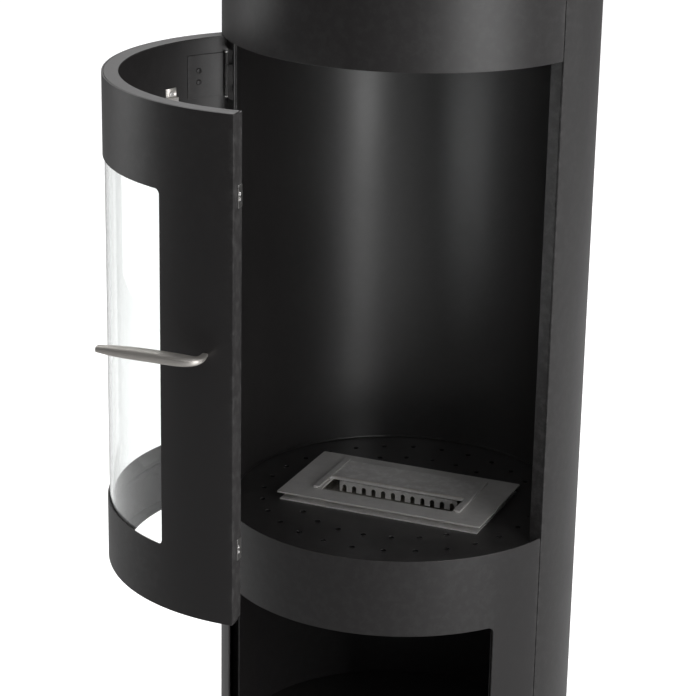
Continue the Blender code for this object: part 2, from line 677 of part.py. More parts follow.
def build_slider():
    low = PLATE_TOP + GAP
    slider = block("burner_slider", BURNER_STEEL, (-SLIDER_HALF, SLIDER_FRONT, low),
                   (SLIDER_HALF, SLIDER_BACK, low + SLIDER_SHEET), pivot=BURNER_PIVOT)
    lip = box_mesh("slider_lip", (-LIP_HALF, SLIDER_FRONT, low),
                   (LIP_HALF, SLIDER_FRONT + SLIDER_SHEET, PLATE_TOP + LIP_HEIGHT))
    combine(slider, new_cutter("slider_lip", lip, pivot=BURNER_PIVOT), "UNION")


def build_guide(name, side):
    """An angle strip that holds one edge of the slider down."""
    low = PLATE_TOP + GAP
    step = low + SLIDER_SHEET + GAP
    front, back = MOUTH_FRONT - 0.001, SLIDER_BACK + 0.003
    over = 0.0022

    def span(near, far):
        return sorted((side * near, side * far))

    near, far = span(GUIDE_INNER, GUIDE_OUTER)
    guide = block(name, BURNER_STEEL, (near, front, low), (far, back, step + 0.001),
                  pivot=BURNER_PIVOT)
    near, far = span(GUIDE_INNER - over, GUIDE_OUTER)
    cover = box_mesh("guide_cover", (near, front, step), (far, back, step + 0.001))
    combine(guide, new_cutter(f"{name}_cover", cover, pivot=BURNER_PIVOT), "UNION")


build_body_sheets()
build_firebox()
build_floor()
build_top()
build_niche_and_base()
build_door_shell()
build_stiles()
build_glass()
build_hinges()
build_catches()
build_handle()
build_tank()
build_burner_top()
for piece in STOVE.objects:
    if piece.type == "MESH" and len(piece.data.polygons):
        smooth(piece)
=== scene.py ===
"""Finished look of a free-standing round bioethanol stove with its glazed door standing open.

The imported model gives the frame: every piece here is made in the row's own metres, with the body's
axis on Z and the front facing -Y. A bearing is an angle about Z, in degrees, counted from the front
towards the right. Rolled sheets are modelled flat, with X running round the body, and then bent.
"""
import json
import logging
import math
from contextlib import contextmanager
from dataclasses import dataclass, field
from enum import Enum
from typing import Callable, Iterator, Sequence

import bpy
from mathutils import Matrix, Vector


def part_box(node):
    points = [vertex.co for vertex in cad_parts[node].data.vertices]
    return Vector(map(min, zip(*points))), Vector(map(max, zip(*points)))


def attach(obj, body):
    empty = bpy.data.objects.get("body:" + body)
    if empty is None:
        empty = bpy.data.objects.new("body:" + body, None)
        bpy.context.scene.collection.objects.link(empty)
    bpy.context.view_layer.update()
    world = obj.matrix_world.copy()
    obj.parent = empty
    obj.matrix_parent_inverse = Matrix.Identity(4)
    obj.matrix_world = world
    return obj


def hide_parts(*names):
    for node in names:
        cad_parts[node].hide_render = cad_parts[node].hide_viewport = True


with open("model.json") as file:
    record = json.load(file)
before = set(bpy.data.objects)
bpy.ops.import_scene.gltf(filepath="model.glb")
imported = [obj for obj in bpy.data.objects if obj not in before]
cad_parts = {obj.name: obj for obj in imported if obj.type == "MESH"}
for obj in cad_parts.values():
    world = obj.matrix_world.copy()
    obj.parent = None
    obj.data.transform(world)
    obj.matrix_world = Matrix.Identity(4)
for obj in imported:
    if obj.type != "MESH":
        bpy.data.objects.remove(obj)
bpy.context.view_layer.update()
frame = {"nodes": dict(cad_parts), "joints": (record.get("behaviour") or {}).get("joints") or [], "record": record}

Item = bpy.types.Object
Socket = bpy.types.NodeSocket
Triple = tuple[float, float, float]

LOG = logging.getLogger("stove")
GAP = 0.0003  # between pieces that lie on each other
PAST = 0.01  # how far a cutter reaches past the plate that it cuts


class Slot(Enum):
    """The record's material slots."""

    COAT = "black_powder_coat"
    HEAT = "black_heat_paint"
    BURNER = "burner_steel"
    BRUSHED = "brushed_steel"
    BRIGHT = "bright_steel"
    GLASS = "glass"
    WOOL = "ceramic_wool"


class Rides(Enum):
    """The moving bodies of the stove."""

    BODY = "body"
    DOOR = "door"
    BURNER = "burner"
    LID = "slider"


# ------------------------------------------------------------------ workshop

def deselect() -> None:
    """Leave nothing selected, in object mode."""
    if bpy.context.object and bpy.context.object.mode != "OBJECT":
        bpy.ops.object.mode_set(mode="OBJECT")
    bpy.ops.object.select_all(action="DESELECT")


def show(item: Item) -> None:
    """Put a new object into the scene."""
    bpy.context.scene.collection.objects.link(item)


def pick(item: Item) -> None:
    """Make one object the only selected one, and active."""
    deselect()
    item.select_set(True)
    bpy.context.view_layer.objects.active = item


@contextmanager
def editing(item: Item, kind: str = "FACE") -> Iterator[None]:
    """Edit mode on one object, with nothing selected at the start.

    Args:
        item: the mesh object to edit.
        kind: VERT, EDGE or FACE selection.
    """
    pick(item)
    bpy.ops.object.mode_set(mode="EDIT")
    bpy.ops.mesh.select_mode(type=kind)
    bpy.ops.mesh.select_all(action="DESELECT")
    yield
    bpy.ops.object.mode_set(mode="OBJECT")


def choose_faces(item: Item, test: Callable[[Vector, Vector], bool]) -> None:
    """Select the faces whose centre and normal pass a test; used inside edit mode.

    Args:
        item: the object in edit mode.
        test: gets a face's centre and normal.
    """
    bpy.ops.object.mode_set(mode="OBJECT")
    for face in item.data.polygons:
        face.select = test(face.center, face.normal)
    bpy.ops.object.mode_set(mode="EDIT")


def settle(item: Item, matrix: Matrix) -> Item:
    """Move an object's mesh by a matrix and leave the object itself at the origin.

    Args:
        item: the object.
        matrix: where it goes.

    Returns:
        The same object.
    """
    item.matrix_world = matrix @ item.matrix_world
    pick(item)
    bpy.ops.object.transform_apply(location=True, rotation=True, scale=True)
    return item


def cube(low: Sequence[float], high: Sequence[float]) -> Item:
    """A box between two corners, at the origin with its place in its mesh."""
    deselect()
    middle = [(a + b) / 2 for a, b in zip(low, high)]
    size = [b - a for a, b in zip(low, high)]
    bpy.ops.mesh.primitive_cube_add(size=1.0, location=middle, scale=size)
    bpy.ops.object.transform_apply(location=True, rotation=True, scale=True)
    return bpy.context.object


def rod(radius: float, low: float, high: float, place: Matrix | None = None,
        sides: int = 32) -> Item:
    """A cylinder along its own Z, from low to high.

    Args:
        radius: its radius.
        low: where it starts.
        high: where it ends.
        place: where its own frame lies.
        sides: how many sides.

    Returns:
        The object.
    """
    deselect()
    bpy.ops.mesh.primitive_cone_add(vertices=sides, radius1=radius, radius2=radius,
                                    depth=high - low, location=(0, 0, (low + high) / 2))
    return settle(bpy.context.object, place or Matrix.Identity(4))


def modify(item: Item, kind: str, **settings: object) -> None:
    """Add a modifier, set it and apply it.

    Args:
        item: the object.
        kind: the modifier's type.
        settings: its properties.
    """
    change = item.modifiers.new(kind.lower(), kind)
    for key, value in settings.items():
        setattr(change, key, value)
    pick(item)
    bpy.ops.object.modifier_apply(modifier=change.name)


def carve(item: Item, *cutters: Item, union: bool = False) -> None:
    """Cut objects out of a piece, or weld them to it, and remove them."""
    for cutter in cutters:
        modify(item, "BOOLEAN", operation="UNION" if union else "DIFFERENCE", solver="EXACT",
               object=cutter)
        bpy.data.objects.remove(cutter, do_unlink=True)


def join(items: Sequence[Item]) -> Item:
    """Join several objects into the first."""
    pick(items[0])
    for item in items:
        item.select_set(True)
    bpy.ops.object.join()
    return items[0]


def soften(item: Item, width: float, segments: int = 2, limit: float = 35.0) -> None:
    """Round every edge that turns by more than a limit, in degrees."""
    modify(item, "BEVEL", width=width, segments=segments, limit_method="ANGLE",
           angle_limit=math.radians(limit), harden_normals=False)


def smooth(item: Item, angle: float = 40.0) -> None:
    """Shade smooth, with creases kept above an angle and large faces left true."""
    pick(item)
    bpy.ops.object.shade_smooth_by_angle(angle=math.radians(angle))
    modify(item, "WEIGHTED_NORMAL", mode="FACE_AREA", weight=100, keep_sharp=True)


def ease(item: Item, width: float, segments: int = 2, limit: float = 35.0) -> Item:
    """Round an object's sharp edges and shade it smooth."""
    soften(item, width, segments, limit)
    smooth(item)
    return item


def bearing_point(radius: float, bearing: float, height: float = 0.0) -> Vector:
    """The place at a radius and bearing."""
    angle = math.radians(bearing)
    return Vector((radius * math.sin(angle), -radius * math.cos(angle), height))


def polar(radius: float, bearing: float, height: float) -> Matrix:
    """A frame whose +X runs round to the right and whose -Y points outwards."""
    return Matrix.Rotation(math.radians(bearing), 4, "Z") @ Matrix.Translation((0, -radius, height))


TIP_OUT = Matrix.Rotation(math.pi / 2, 4, "X")
TIP_IN = Matrix.Rotation(-math.pi / 2, 4, "X")
TIP_RIGHT = Matrix.Rotation(math.pi / 2, 4, "Y")


def bar(parts: Sequence[tuple[Sequence[float], Sequence[float]]], rounding: float,
        place: Matrix | None = None) -> Item:
    """Boxes welded into one bent bar, with rounded edges.

    Args:
        parts: each box's two corners.
        rounding: radius of the edges.
        place: where its own frame lies.

    Returns:
        The object.
    """
    item = cube(*parts[0])
    carve(item, *(cube(*part) for part in parts[1:]), union=True)
    return settle(ease(item, rounding), place or Matrix.Identity(4))


def round_corners(item: Item, axis: int, radius: float, segments: int = 5) -> None:
    """Round the edges of a plain box that run along one axis.

    Args:
        item: the box.
        axis: 0, 1 or 2.
        radius: radius of the corners.
        segments: how many faces each corner has.
    """
    with editing(item, "EDGE"):
        bpy.ops.object.mode_set(mode="OBJECT")
        for edge in item.data.edges:
            a, b = (item.data.vertices[index].co for index in edge.vertices)
            run = b - a
            edge.select = abs(run[axis]) > 0.9 * run.length
        bpy.ops.object.mode_set(mode="EDIT")
        bpy.ops.mesh.bevel(offset=radius, segments=segments, affect="EDGES")


def domed(radius: float, height: float, foot: float, shoulder: float, sides: int,
          rings: Sequence[tuple[float, float]]) -> Item:
    """A short stud along its own +Z with a domed end.

    Args:
        radius: the stud's radius.
        height: how high its dome stands.
        foot: where the stud starts.
        shoulder: how much of the height is straight.
        sides: how many sides.
        rings: each ring of the dome, as parts of the radius and of the height.

    Returns:
        The object.
    """
    item = rod(radius, foot, height * shoulder, sides=sides)
    with editing(item):
        choose_faces(item, lambda centre, normal: normal.z > 0.9)
        for inset, rise in rings:
            bpy.ops.mesh.inset(thickness=radius * inset, depth=height * rise)
    return item


@dataclass
class Window:
    """A rounded opening through a rolled sheet, sized on the flat."""

    half_angle: float
    low: float
    high: float
    corner: float

    def cutter(self, radius: float) -> Item:
        """The block that cuts this window out of the flat sheet."""
        half = radius * math.radians(self.half_angle)
        block = cube((-half, -0.02, self.low), (half, 0.02, self.high))
        round_corners(block, 1, self.corner, 8)
        return block


@dataclass
class Rolled:
    """A plate or bar bent round the body's axis.

    It is modelled flat at its outer radius and rolled to its bearings.
    """

    outer: float
    inner: float
    start: float
    end: float
    low: float
    high: float
    rounding: float = 0.0005
    step: float = 1.5
    windows: list[Window] = field(default_factory=list)

    def make(self) -> Item:
        """Model the flat blank, pierce it, round its edges and roll it."""
        left, right = (self.outer * math.radians(angle) for angle in (self.start, self.end))
        blank = cube((left, 0, self.low), (right, self.outer - self.inner, self.high))
        carve(blank, *(window.cutter(self.outer) for window in self.windows))
        if self.rounding:
            soften(blank, self.rounding)
        count = math.ceil((self.end - self.start) / self.step)
        with editing(blank):
            for index in range(1, count):
                bpy.ops.mesh.select_all(action="SELECT")
                bpy.ops.mesh.bisect(plane_co=(left + (right - left) * index / count, 0, 0),
                                    plane_no=(1, 0, 0))
        modify(blank, "SIMPLE_DEFORM", deform_method="BEND", deform_axis="Z",
               angle=(right - left) / self.outer)
        settle(blank, Matrix.Translation((0, -self.outer, 0)))
        smooth(blank)
        return blank


@dataclass(frozen=True)
class PanScrew:
    """A pan-head screw with a cross recess; its head looks along its own +Z."""

    head: float
    height: float
    recess: float = 0.55

    def make(self, place: Matrix) -> Item:
        """Model the head at a place.

        Args:
            place: its frame, with the seat at the origin.

        Returns:
            The object.
        """
        item = domed(self.head, self.height, 0.0, 0.55, 32,
                     ((0.10, 0.25), (0.22, 0.14), (0.30, 0.06)))
        arm, reach = self.head * 0.13, self.head * self.recess
        deep = self.height * 0.45
        for half_x, half_y in ((reach, arm), (arm, reach)):
            carve(item, cube((-half_x, -half_y, deep), (half_x, half_y, 2 * self.height)))
        return settle(ease(item, self.head * 0.03, 1, 50), place)


# ------------------------------------------------------------------ finishes

class Nodes:
    """A short hand for adding and joining shader nodes."""

    def __init__(self, tree: bpy.types.NodeTree) -> None:
        """Keep the tree."""
        self.tree = tree

    def add(self, kind: str, settings: dict[str, object] | None = None,
            **inputs: object) -> bpy.types.Node:
        """Add a node.

        Args:
            kind: its type name without the ShaderNode prefix.
            settings: its properties.
            inputs: values or sockets for its inputs, as in feed.

        Returns:
            The node.
        """
        node = self.tree.nodes.new("ShaderNode" + kind)
        for key, value in (settings or {}).items():
            setattr(node, key, value)
        return self.feed(node, **inputs)

    def feed(self, node: bpy.types.Node, **inputs: object) -> bpy.types.Node:
        """Set or link a node's inputs.

        Args:
            node: the node.
            inputs: values or sockets, named with _ for a space, or i and its number.

        Returns:
            The same node.
        """
        for key, value in inputs.items():
            name = int(key[1:]) if key[0] == "i" and key[1:].isdigit() else key.replace("_", " ")
            if isinstance(value, bpy.types.NodeSocket):
                self.tree.links.new(value, node.inputs[name])
            else:
                node.inputs[name].default_value = value
        return node

    def math(self, operation: str, first: object, second: object = 0.0,
             clamp: bool = False) -> Socket:
        """A Math node's result."""
        return self.add("Math", {"operation": operation, "use_clamp": clamp},
                        i0=first, i1=second).outputs[0]

    def noise(self, place: object, scale: object, detail: float = 3.0,
              roughness: float = 0.5) -> Socket:
        """A Noise texture's value."""
        return self.add("TexNoise", Vector=place, Scale=scale, Detail=detail,
                        Roughness=roughness).outputs["Fac"]

    def span(self, value: object, low: float, high: float, new_low: float = 0.0,
             new_high: float = 1.0) -> Socket:
        """A Map Range node's result."""
        return self.add("MapRange", {"interpolation_type": "SMOOTHSTEP"}, Value=value,
                        From_Min=low, From_Max=high, To_Min=new_low,
                        To_Max=new_high).outputs["Result"]

    def mix(self, factor: object, first: object, second: object) -> Socket:
        """A colour Mix node's result."""
        return self.add("Mix", {"data_type": "RGBA"}, i0=factor, i6=first, i7=second).outputs[2]


def rgba(colour: Sequence[float]) -> tuple[float, float, float, float]:
    """A colour with full alpha."""
    return (colour[0], colour[1], colour[2], 1.0)


class SharedEffects:
    """The node groups that more than one finish uses."""

    def __init__(self) -> None:
        """Build each group once."""
        self.grain = self._grain()
        self.wear_dust_and_edge_sheen = self._wear_dust_and_edge_sheen()
        self.streaks = self._streaks()

    @staticmethod
    def _group(name: str, inputs: dict[str, object],
               outputs: Sequence[str]) -> tuple[Nodes, bpy.types.Node, bpy.types.Node]:
        """Start a group with named sockets.

        Args:
            name: the group's name.
            inputs: each input's default, a number or a colour.
            outputs: names; one that ends in Colour is a colour, the others are values.

        Returns:
            The node builder, the group's input node and its output node.
        """
        tree = bpy.data.node_groups.new(name, "ShaderNodeTree")
        for key, value in inputs.items():
            kind = "NodeSocketFloat" if isinstance(value, float) else "NodeSocketColor"
            tree.interface.new_socket(key, in_out="INPUT", socket_type=kind).default_value = value
        for key in outputs:
            kind = "NodeSocketColor" if key.endswith("Colour") else "NodeSocketFloat"
            tree.interface.new_socket(key, in_out="OUTPUT", socket_type=kind)
        ends = (tree.nodes.new("NodeGroup" + end) for end in ("Input", "Output"))
        return Nodes(tree), *ends

    def _grain(self) -> bpy.types.NodeTree:
        """Fine texture of a sprayed coat: a height, a slow mottling and a roughness."""
        nodes, given, out = self._group(
            "sprayed_grain", {"Fine Scale": 1300.0, "Peel Scale": 240.0, "Base Roughness": 0.45,
                              "Spread": 0.08}, ("Height", "Mottle", "Roughness"))
        place = nodes.add("TexCoord").outputs["Object"]
        fine = nodes.noise(place, given.outputs["Fine Scale"], 2.0)
        peel = nodes.noise(place, given.outputs["Peel Scale"], 1.0)
        height = nodes.math("ADD", nodes.math("MULTIPLY", fine, 0.6),
                            nodes.math("MULTIPLY", peel, 0.4))
        mottle = nodes.noise(place, 7.0, 4.0)
        swing = nodes.math("MULTIPLY", nodes.math("SUBTRACT", mottle, 0.5),
                           given.outputs["Spread"])
        rough = nodes.math("ADD", given.outputs["Base Roughness"],
                           nodes.math("MULTIPLY", swing, 2.0))
        speck = nodes.math("MULTIPLY", nodes.math("SUBTRACT", fine, 0.5),
                           given.outputs["Spread"])
        nodes.feed(out, Height=height, Mottle=mottle,
                   Roughness=nodes.math("ADD", rough, speck, True))
        return nodes.tree

    def _wear_dust_and_edge_sheen(self) -> bpy.types.NodeTree:
        """Masks of thin edges and of dust that settles on faces that look up; the edge mask lightens edges partly
        as rubbed wear and partly as a painted highlight on the bevels.
        """
        nodes, given, out = self._group("edge_and_dust", {"Edge Amount": 0.5, "Dust Amount": 0.3},
                                        ("Edge", "Dust"))
        geometry = nodes.add("NewGeometry")
        place = nodes.add("TexCoord").outputs["Object"]
        # Pointiness finds the bevels: the lighter edges are partly rubbed paint and partly a painted highlight of
        # light caught on the bevels.
        rim = nodes.span(geometry.outputs["Pointiness"], 0.515, 0.60)
        broken = nodes.span(nodes.noise(place, 90.0, 5.0, 0.7), 0.42, 0.66)
        edge = nodes.math("MULTIPLY", nodes.math("MULTIPLY", rim, broken),
                          given.outputs["Edge Amount"], True)
        upward = nodes.add("SeparateXYZ", Vector=geometry.outputs["Normal"]).outputs["Z"]
        settled = nodes.math("MULTIPLY", nodes.span(upward, 0.5, 0.95),
                             nodes.span(nodes.noise(place, 55.0, 6.0, 0.65), 0.40, 0.75))
        dust = nodes.math("MULTIPLY", settled, given.outputs["Dust Amount"], True)
        nodes.feed(out, Edge=edge, Dust=dust)
        return nodes.tree

    def _streaks(self) -> bpy.types.NodeTree:
        """Brushed lines along X: a height and a roughness swing, with a few deeper scratches."""
        nodes, given, out = self._group("brushed_lines", {"Line Scale": 900.0, "Depth": 1.0},
                                        ("Height", "Streak", "Scratch"))
        place = nodes.add("TexCoord").outputs["Object"]
        lines = nodes.add("Mapping", Vector=place, Scale=(0.02, 1.0, 1.0)).outputs["Vector"]
        fine = nodes.noise(lines, given.outputs["Line Scale"], 3.0, 0.6)
        wide = nodes.noise(lines, 160.0, 2.0)
        tilted = nodes.add("Mapping", Vector=place, Scale=(0.08, 1.0, 1.0),
                           Rotation=(0.0, 0.0, 0.5)).outputs["Vector"]
        scratch = nodes.span(nodes.noise(tilted, 420.0, 2.0), 0.69, 0.74)
        streak = nodes.math("ADD", nodes.math("MULTIPLY", fine, 0.7),
                            nodes.math("MULTIPLY", wide, 0.3))
        height = nodes.math("MULTIPLY", nodes.math("SUBTRACT", streak, scratch),
                            given.outputs["Depth"])
        nodes.feed(out, Height=height, Streak=streak, Scratch=scratch)
        return nodes.tree


def blank_material(name: str) -> tuple[bpy.types.Material, Nodes, bpy.types.Node]:
    """A new node material.

    Args:
        name: its name.

    Returns:
        The material, its node builder and its Principled shader.
    """
    material = bpy.data.materials.new(name)
    material.use_nodes = True
    return material, Nodes(material.node_tree), material.node_tree.nodes["Principled BSDF"]


@dataclass(frozen=True)
class SprayedCoat:
    """Powder coat or heat paint over steel."""

    name: str
    colour: Triple
    lighter: Triple
    roughness: float
    spread: float
    fine_scale: float
    bump: float
    edge: float
    dust: float
    refraction: float = 1.5
    dust_colour: Triple = (0.20, 0.195, 0.19)

    def material(self, effects: SharedEffects) -> bpy.types.Material:
        """Build the node material.

        Args:
            effects: the shared node groups.

        Returns:
            The material.
        """
        material, nodes, shader = blank_material(self.name)
        grain = nodes.add("Group", {"node_tree": effects.grain}, Fine_Scale=self.fine_scale,
                          Base_Roughness=self.roughness, Spread=self.spread)
        wear_dust_and_edge_sheen = nodes.add("Group", {"node_tree": effects.wear_dust_and_edge_sheen}, Edge_Amount=self.edge,
                         Dust_Amount=self.dust)
        tone = nodes.mix(grain.outputs["Mottle"], rgba(self.colour), rgba(self.lighter))
        # Edges lightened to grey: partly rubbed paint, partly a painted highlight standing in for light caught by
        # the bevels.
        rubbed_and_sheened = nodes.mix(wear_dust_and_edge_sheen.outputs["Edge"], tone, rgba((0.14, 0.137, 0.135)))
        dusty = nodes.mix(wear_dust_and_edge_sheen.outputs["Dust"], rubbed_and_sheened, rgba(self.dust_colour))
        rough = nodes.math("ADD", grain.outputs["Roughness"],
                           nodes.math("MULTIPLY", wear_dust_and_edge_sheen.outputs["Dust"], 0.3), True)
        bump = nodes.add("Bump", Height=grain.outputs["Height"], Strength=self.bump,
                         Distance=0.0002)
        nodes.feed(shader, Base_Color=dusty, Roughness=rough, IOR=self.refraction,
                   Normal=bump.outputs["Normal"])
        return material


@dataclass(frozen=True)
class BrushedMetal:
    """Bare or darkened steel with lines brushed along X."""

    name: str
    colour: Triple
    darker: Triple
    metallic: float
    roughness: float
    spread: float
    line_scale: float
    bump: float
    scratch: float
    edge: float = 0.4
    dust: float = 0.15

    def material(self, effects: SharedEffects) -> bpy.types.Material:
        """Build the node material.

        Args:
            effects: the shared node groups.

        Returns:
            The material.
        """
        material, nodes, shader = blank_material(self.name)
        lines = nodes.add("Group", {"node_tree": effects.streaks}, Line_Scale=self.line_scale)
        wear_dust_and_edge_sheen = nodes.add("Group", {"node_tree": effects.wear_dust_and_edge_sheen}, Edge_Amount=self.edge,
                         Dust_Amount=self.dust)
        place = nodes.add("TexCoord").outputs["Object"]
        cloud = nodes.noise(place, 24.0, 5.0, 0.6)
        tone = nodes.mix(nodes.span(cloud, 0.3, 0.75), rgba(self.colour), rgba(self.darker))
        pale = tuple(min(1.0, value * 2.2 + 0.05) for value in self.colour)
        marked = nodes.mix(nodes.math("MULTIPLY", lines.outputs["Scratch"], self.scratch), tone,
                           rgba(pale))
        # Edges lightened to the pale tone: partly rubbed metal, partly a painted highlight standing in for light
        # caught by the edges.
        rubbed_and_sheened = nodes.mix(wear_dust_and_edge_sheen.outputs["Edge"], marked, rgba(pale))
        dusty = nodes.mix(wear_dust_and_edge_sheen.outputs["Dust"], rubbed_and_sheened, rgba((0.42, 0.41, 0.40)))
        swing = nodes.math("MULTIPLY", nodes.math("SUBTRACT", lines.outputs["Streak"], 0.5),
                           self.spread)
        cloudy = nodes.math("MULTIPLY", nodes.math("SUBTRACT", cloud, 0.5), self.spread)
        rough = nodes.math("ADD", self.roughness, nodes.math("ADD", swing, cloudy), True)
        bump = nodes.add("Bump", Height=lines.outputs["Height"], Strength=self.bump,
                         Distance=0.0001)
        nodes.feed(shader, Base_Color=dusty, Roughness=rough, Metallic=self.metallic,
                   Normal=bump.outputs["Normal"])
        return material


@dataclass(frozen=True)
class ClearGlass:
    """Clear curved glass with the faint green of its thickness."""

    name: str = "clear_ceramic_glass"
    colour: Triple = (0.975, 0.99, 0.985)
    ior: float = 1.47

    def material(self, effects: SharedEffects) -> bpy.types.Material:
        """Build the node material, with a trace of wiping marks in its roughness."""
        material, nodes, shader = blank_material(self.name)
        place = nodes.add("TexCoord").outputs["Object"]
        wiped = nodes.add("Mapping", Vector=place, Scale=(1.0, 1.0, 0.25)).outputs["Vector"]
        smear = nodes.span(nodes.noise(wiped, 38.0, 5.0, 0.65), 0.45, 0.8, 0.0, 0.035)
        nodes.feed(shader, Base_Color=rgba(self.colour), Roughness=smear, IOR=self.ior,
                   Transmission_Weight=1.0)
        return material


@dataclass(frozen=True)
class Wool:
    """Off-white ceramic fibre that soaks up the fuel."""

    name: str = "ceramic_fibre"
    colour: Triple = (0.55, 0.53, 0.49)
    scorched: Triple = (0.16, 0.14, 0.12)

    def material(self, effects: SharedEffects) -> bpy.types.Material:
        """Build the node material: matted fibres with scorched patches."""
        material, nodes, shader = blank_material(self.name)
        place = nodes.add("TexCoord").outputs["Object"]
        fibre = nodes.noise(place, 700.0, 6.0, 0.8)
        patch = nodes.span(nodes.noise(place, 30.0, 4.0), 0.35, 0.7)
        tone = nodes.mix(patch, rgba(self.colour), rgba(self.scorched))
        bump = nodes.add("Bump", Height=fibre, Strength=0.8, Distance=0.001)
        nodes.feed(shader, Base_Color=tone, Roughness=0.95, Normal=bump.outputs["Normal"])
        return material


class Finishes:
    """Every finish of the stove, keyed by the slot it belongs to."""

    def __init__(self) -> None:
        """Build the shared groups and the materials."""
        effects = SharedEffects()
        recipes = {
            Slot.COAT: SprayedCoat("satin_black_powder_coat", (0.0175, 0.0160, 0.0162),
                                   (0.0220, 0.0202, 0.0204), 0.42, 0.07, 1500.0, 0.22, 0.35,
                                   0.05),
            Slot.HEAT: SprayedCoat("black_heat_paint", (0.0105, 0.0096, 0.0096),
                                   (0.0155, 0.0143, 0.0142), 0.35, 0.05, 1100.0, 0.20, 0.25,
                                   0.08, 1.85),
            Slot.BURNER: BrushedMetal("burner_steel", (0.74, 0.722, 0.705),
                                      (0.67, 0.654, 0.640), 0.40, 0.46, 0.08, 700.0, 0.06, 0.15),
            Slot.BRUSHED: BrushedMetal("brushed_stainless_steel", (0.70, 0.665, 0.625),
                                       (0.60, 0.570, 0.535), 0.80, 0.45, 0.12, 1100.0, 0.14,
                                       0.10),
            Slot.BRIGHT: BrushedMetal("bright_plated_steel", (0.60, 0.59, 0.575),
                                      (0.50, 0.49, 0.48), 1.0, 0.28, 0.12, 1600.0, 0.06, 0.10),
            Slot.GLASS: ClearGlass(),
            Slot.WOOL: Wool(),
        }
        self.by_slot = {slot: recipe.material(effects) for slot, recipe in recipes.items()}

    def dress(self, item: Item, slot: Slot) -> None:
        """Give an object one finish all over."""
        item.data.materials.clear()
        item.data.materials.append(self.by_slot[slot])


@dataclass
class Shop:
    """Where finished pieces are handed over."""

    finishes: Finishes

    def deliver(self, item: Item, name: str, slot: Slot, rides: Rides,
                *replaced: str) -> Item:
        """Name, dress and attach a finished piece.

        Args:
            item: the piece, at the origin.
            name: its name.
            slot: the record's slot of its finish.
            rides: the body that it moves with.
            replaced: the CAD nodes that it stands for.

        Returns:
            The piece.
        """
        item.name = name
        item.data.name = name
        self.finishes.dress(item, slot)
        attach(item, rides.value)
        if replaced:
            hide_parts(*replaced)
        LOG.info("%s: %d faces", name, len(item.data.polygons))
        return item

    def disc(self, node: str, name: str, slot: Slot, sides: int, *cutters: Item) -> None:
        """Pierce a round plate, round its edges and hand it over.

        Args:
            node: the CAD node that it stands for.
            name: its name.
            slot: the record's slot of its finish.
            sides: how many sides its rim has.
            cutters: what is cut out of it.
        """
        low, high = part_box(node)
        plate = rod(high.x, low.z, high.z, sides=sides)
        carve(plate, *cutters)
        self.deliver(ease(plate, 0.0003), name, slot, Rides.BODY, node)

    def keep(self, *nodes: str) -> None:
        """Give CAD nodes that stay the finish of their own slot."""
        slots = {part["node"]: part["material_slot"] for part in frame["record"]["subparts"]}
        for node in nodes:
            self.finishes.dress(frame["nodes"][node], Slot(slots[node]))


# ------------------------------------------------------------------ body

@dataclass
class Carcass:
    """The outer sheets: the wrap round sides and back, the front band and the niche panel."""

    shop: Shop
    seam: float = 68.9
    seam_gap: float = 0.15
    sheet: float = 0.002
    rounding: float = 0.0007
    niche: Window = field(default_factory=lambda: Window(50.3, 0.080, 0.340, 0.008))

    def build(self) -> None:
        """Model the three sheets and dress the plates that stay."""
        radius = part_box("outer_shell")[1].x
        inner = radius - self.sheet
        front, side = self.seam - self.seam_gap, self.seam + self.seam_gap
        sheets = (
            ("rolled_wrap", "outer_shell", side, 360 - side, []),
            ("front_band", "top_front_band", -front, front, []),
            ("niche_panel", "lower_front_panel", -front, front, [self.niche]),
        )
        for name, node, start, end, windows in sheets:
            low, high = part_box(node)
            item = Rolled(radius, inner, start, end, low.z, high.z, self.rounding,
                          windows=windows).make()
            self.shop.deliver(item, name, Slot.COAT, Rides.BODY, node)
        self.shop.keep("base_plate", "niche_floor", "niche_ceiling")
        low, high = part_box("niche_liner")
        item = Rolled(high.x, high.x - 0.0015, self.niche.half_angle + 2,
                      358 - self.niche.half_angle, low.z, high.z).make()
        self.shop.deliver(item, "niche_lining", Slot.COAT, Rides.BODY, "niche_liner")


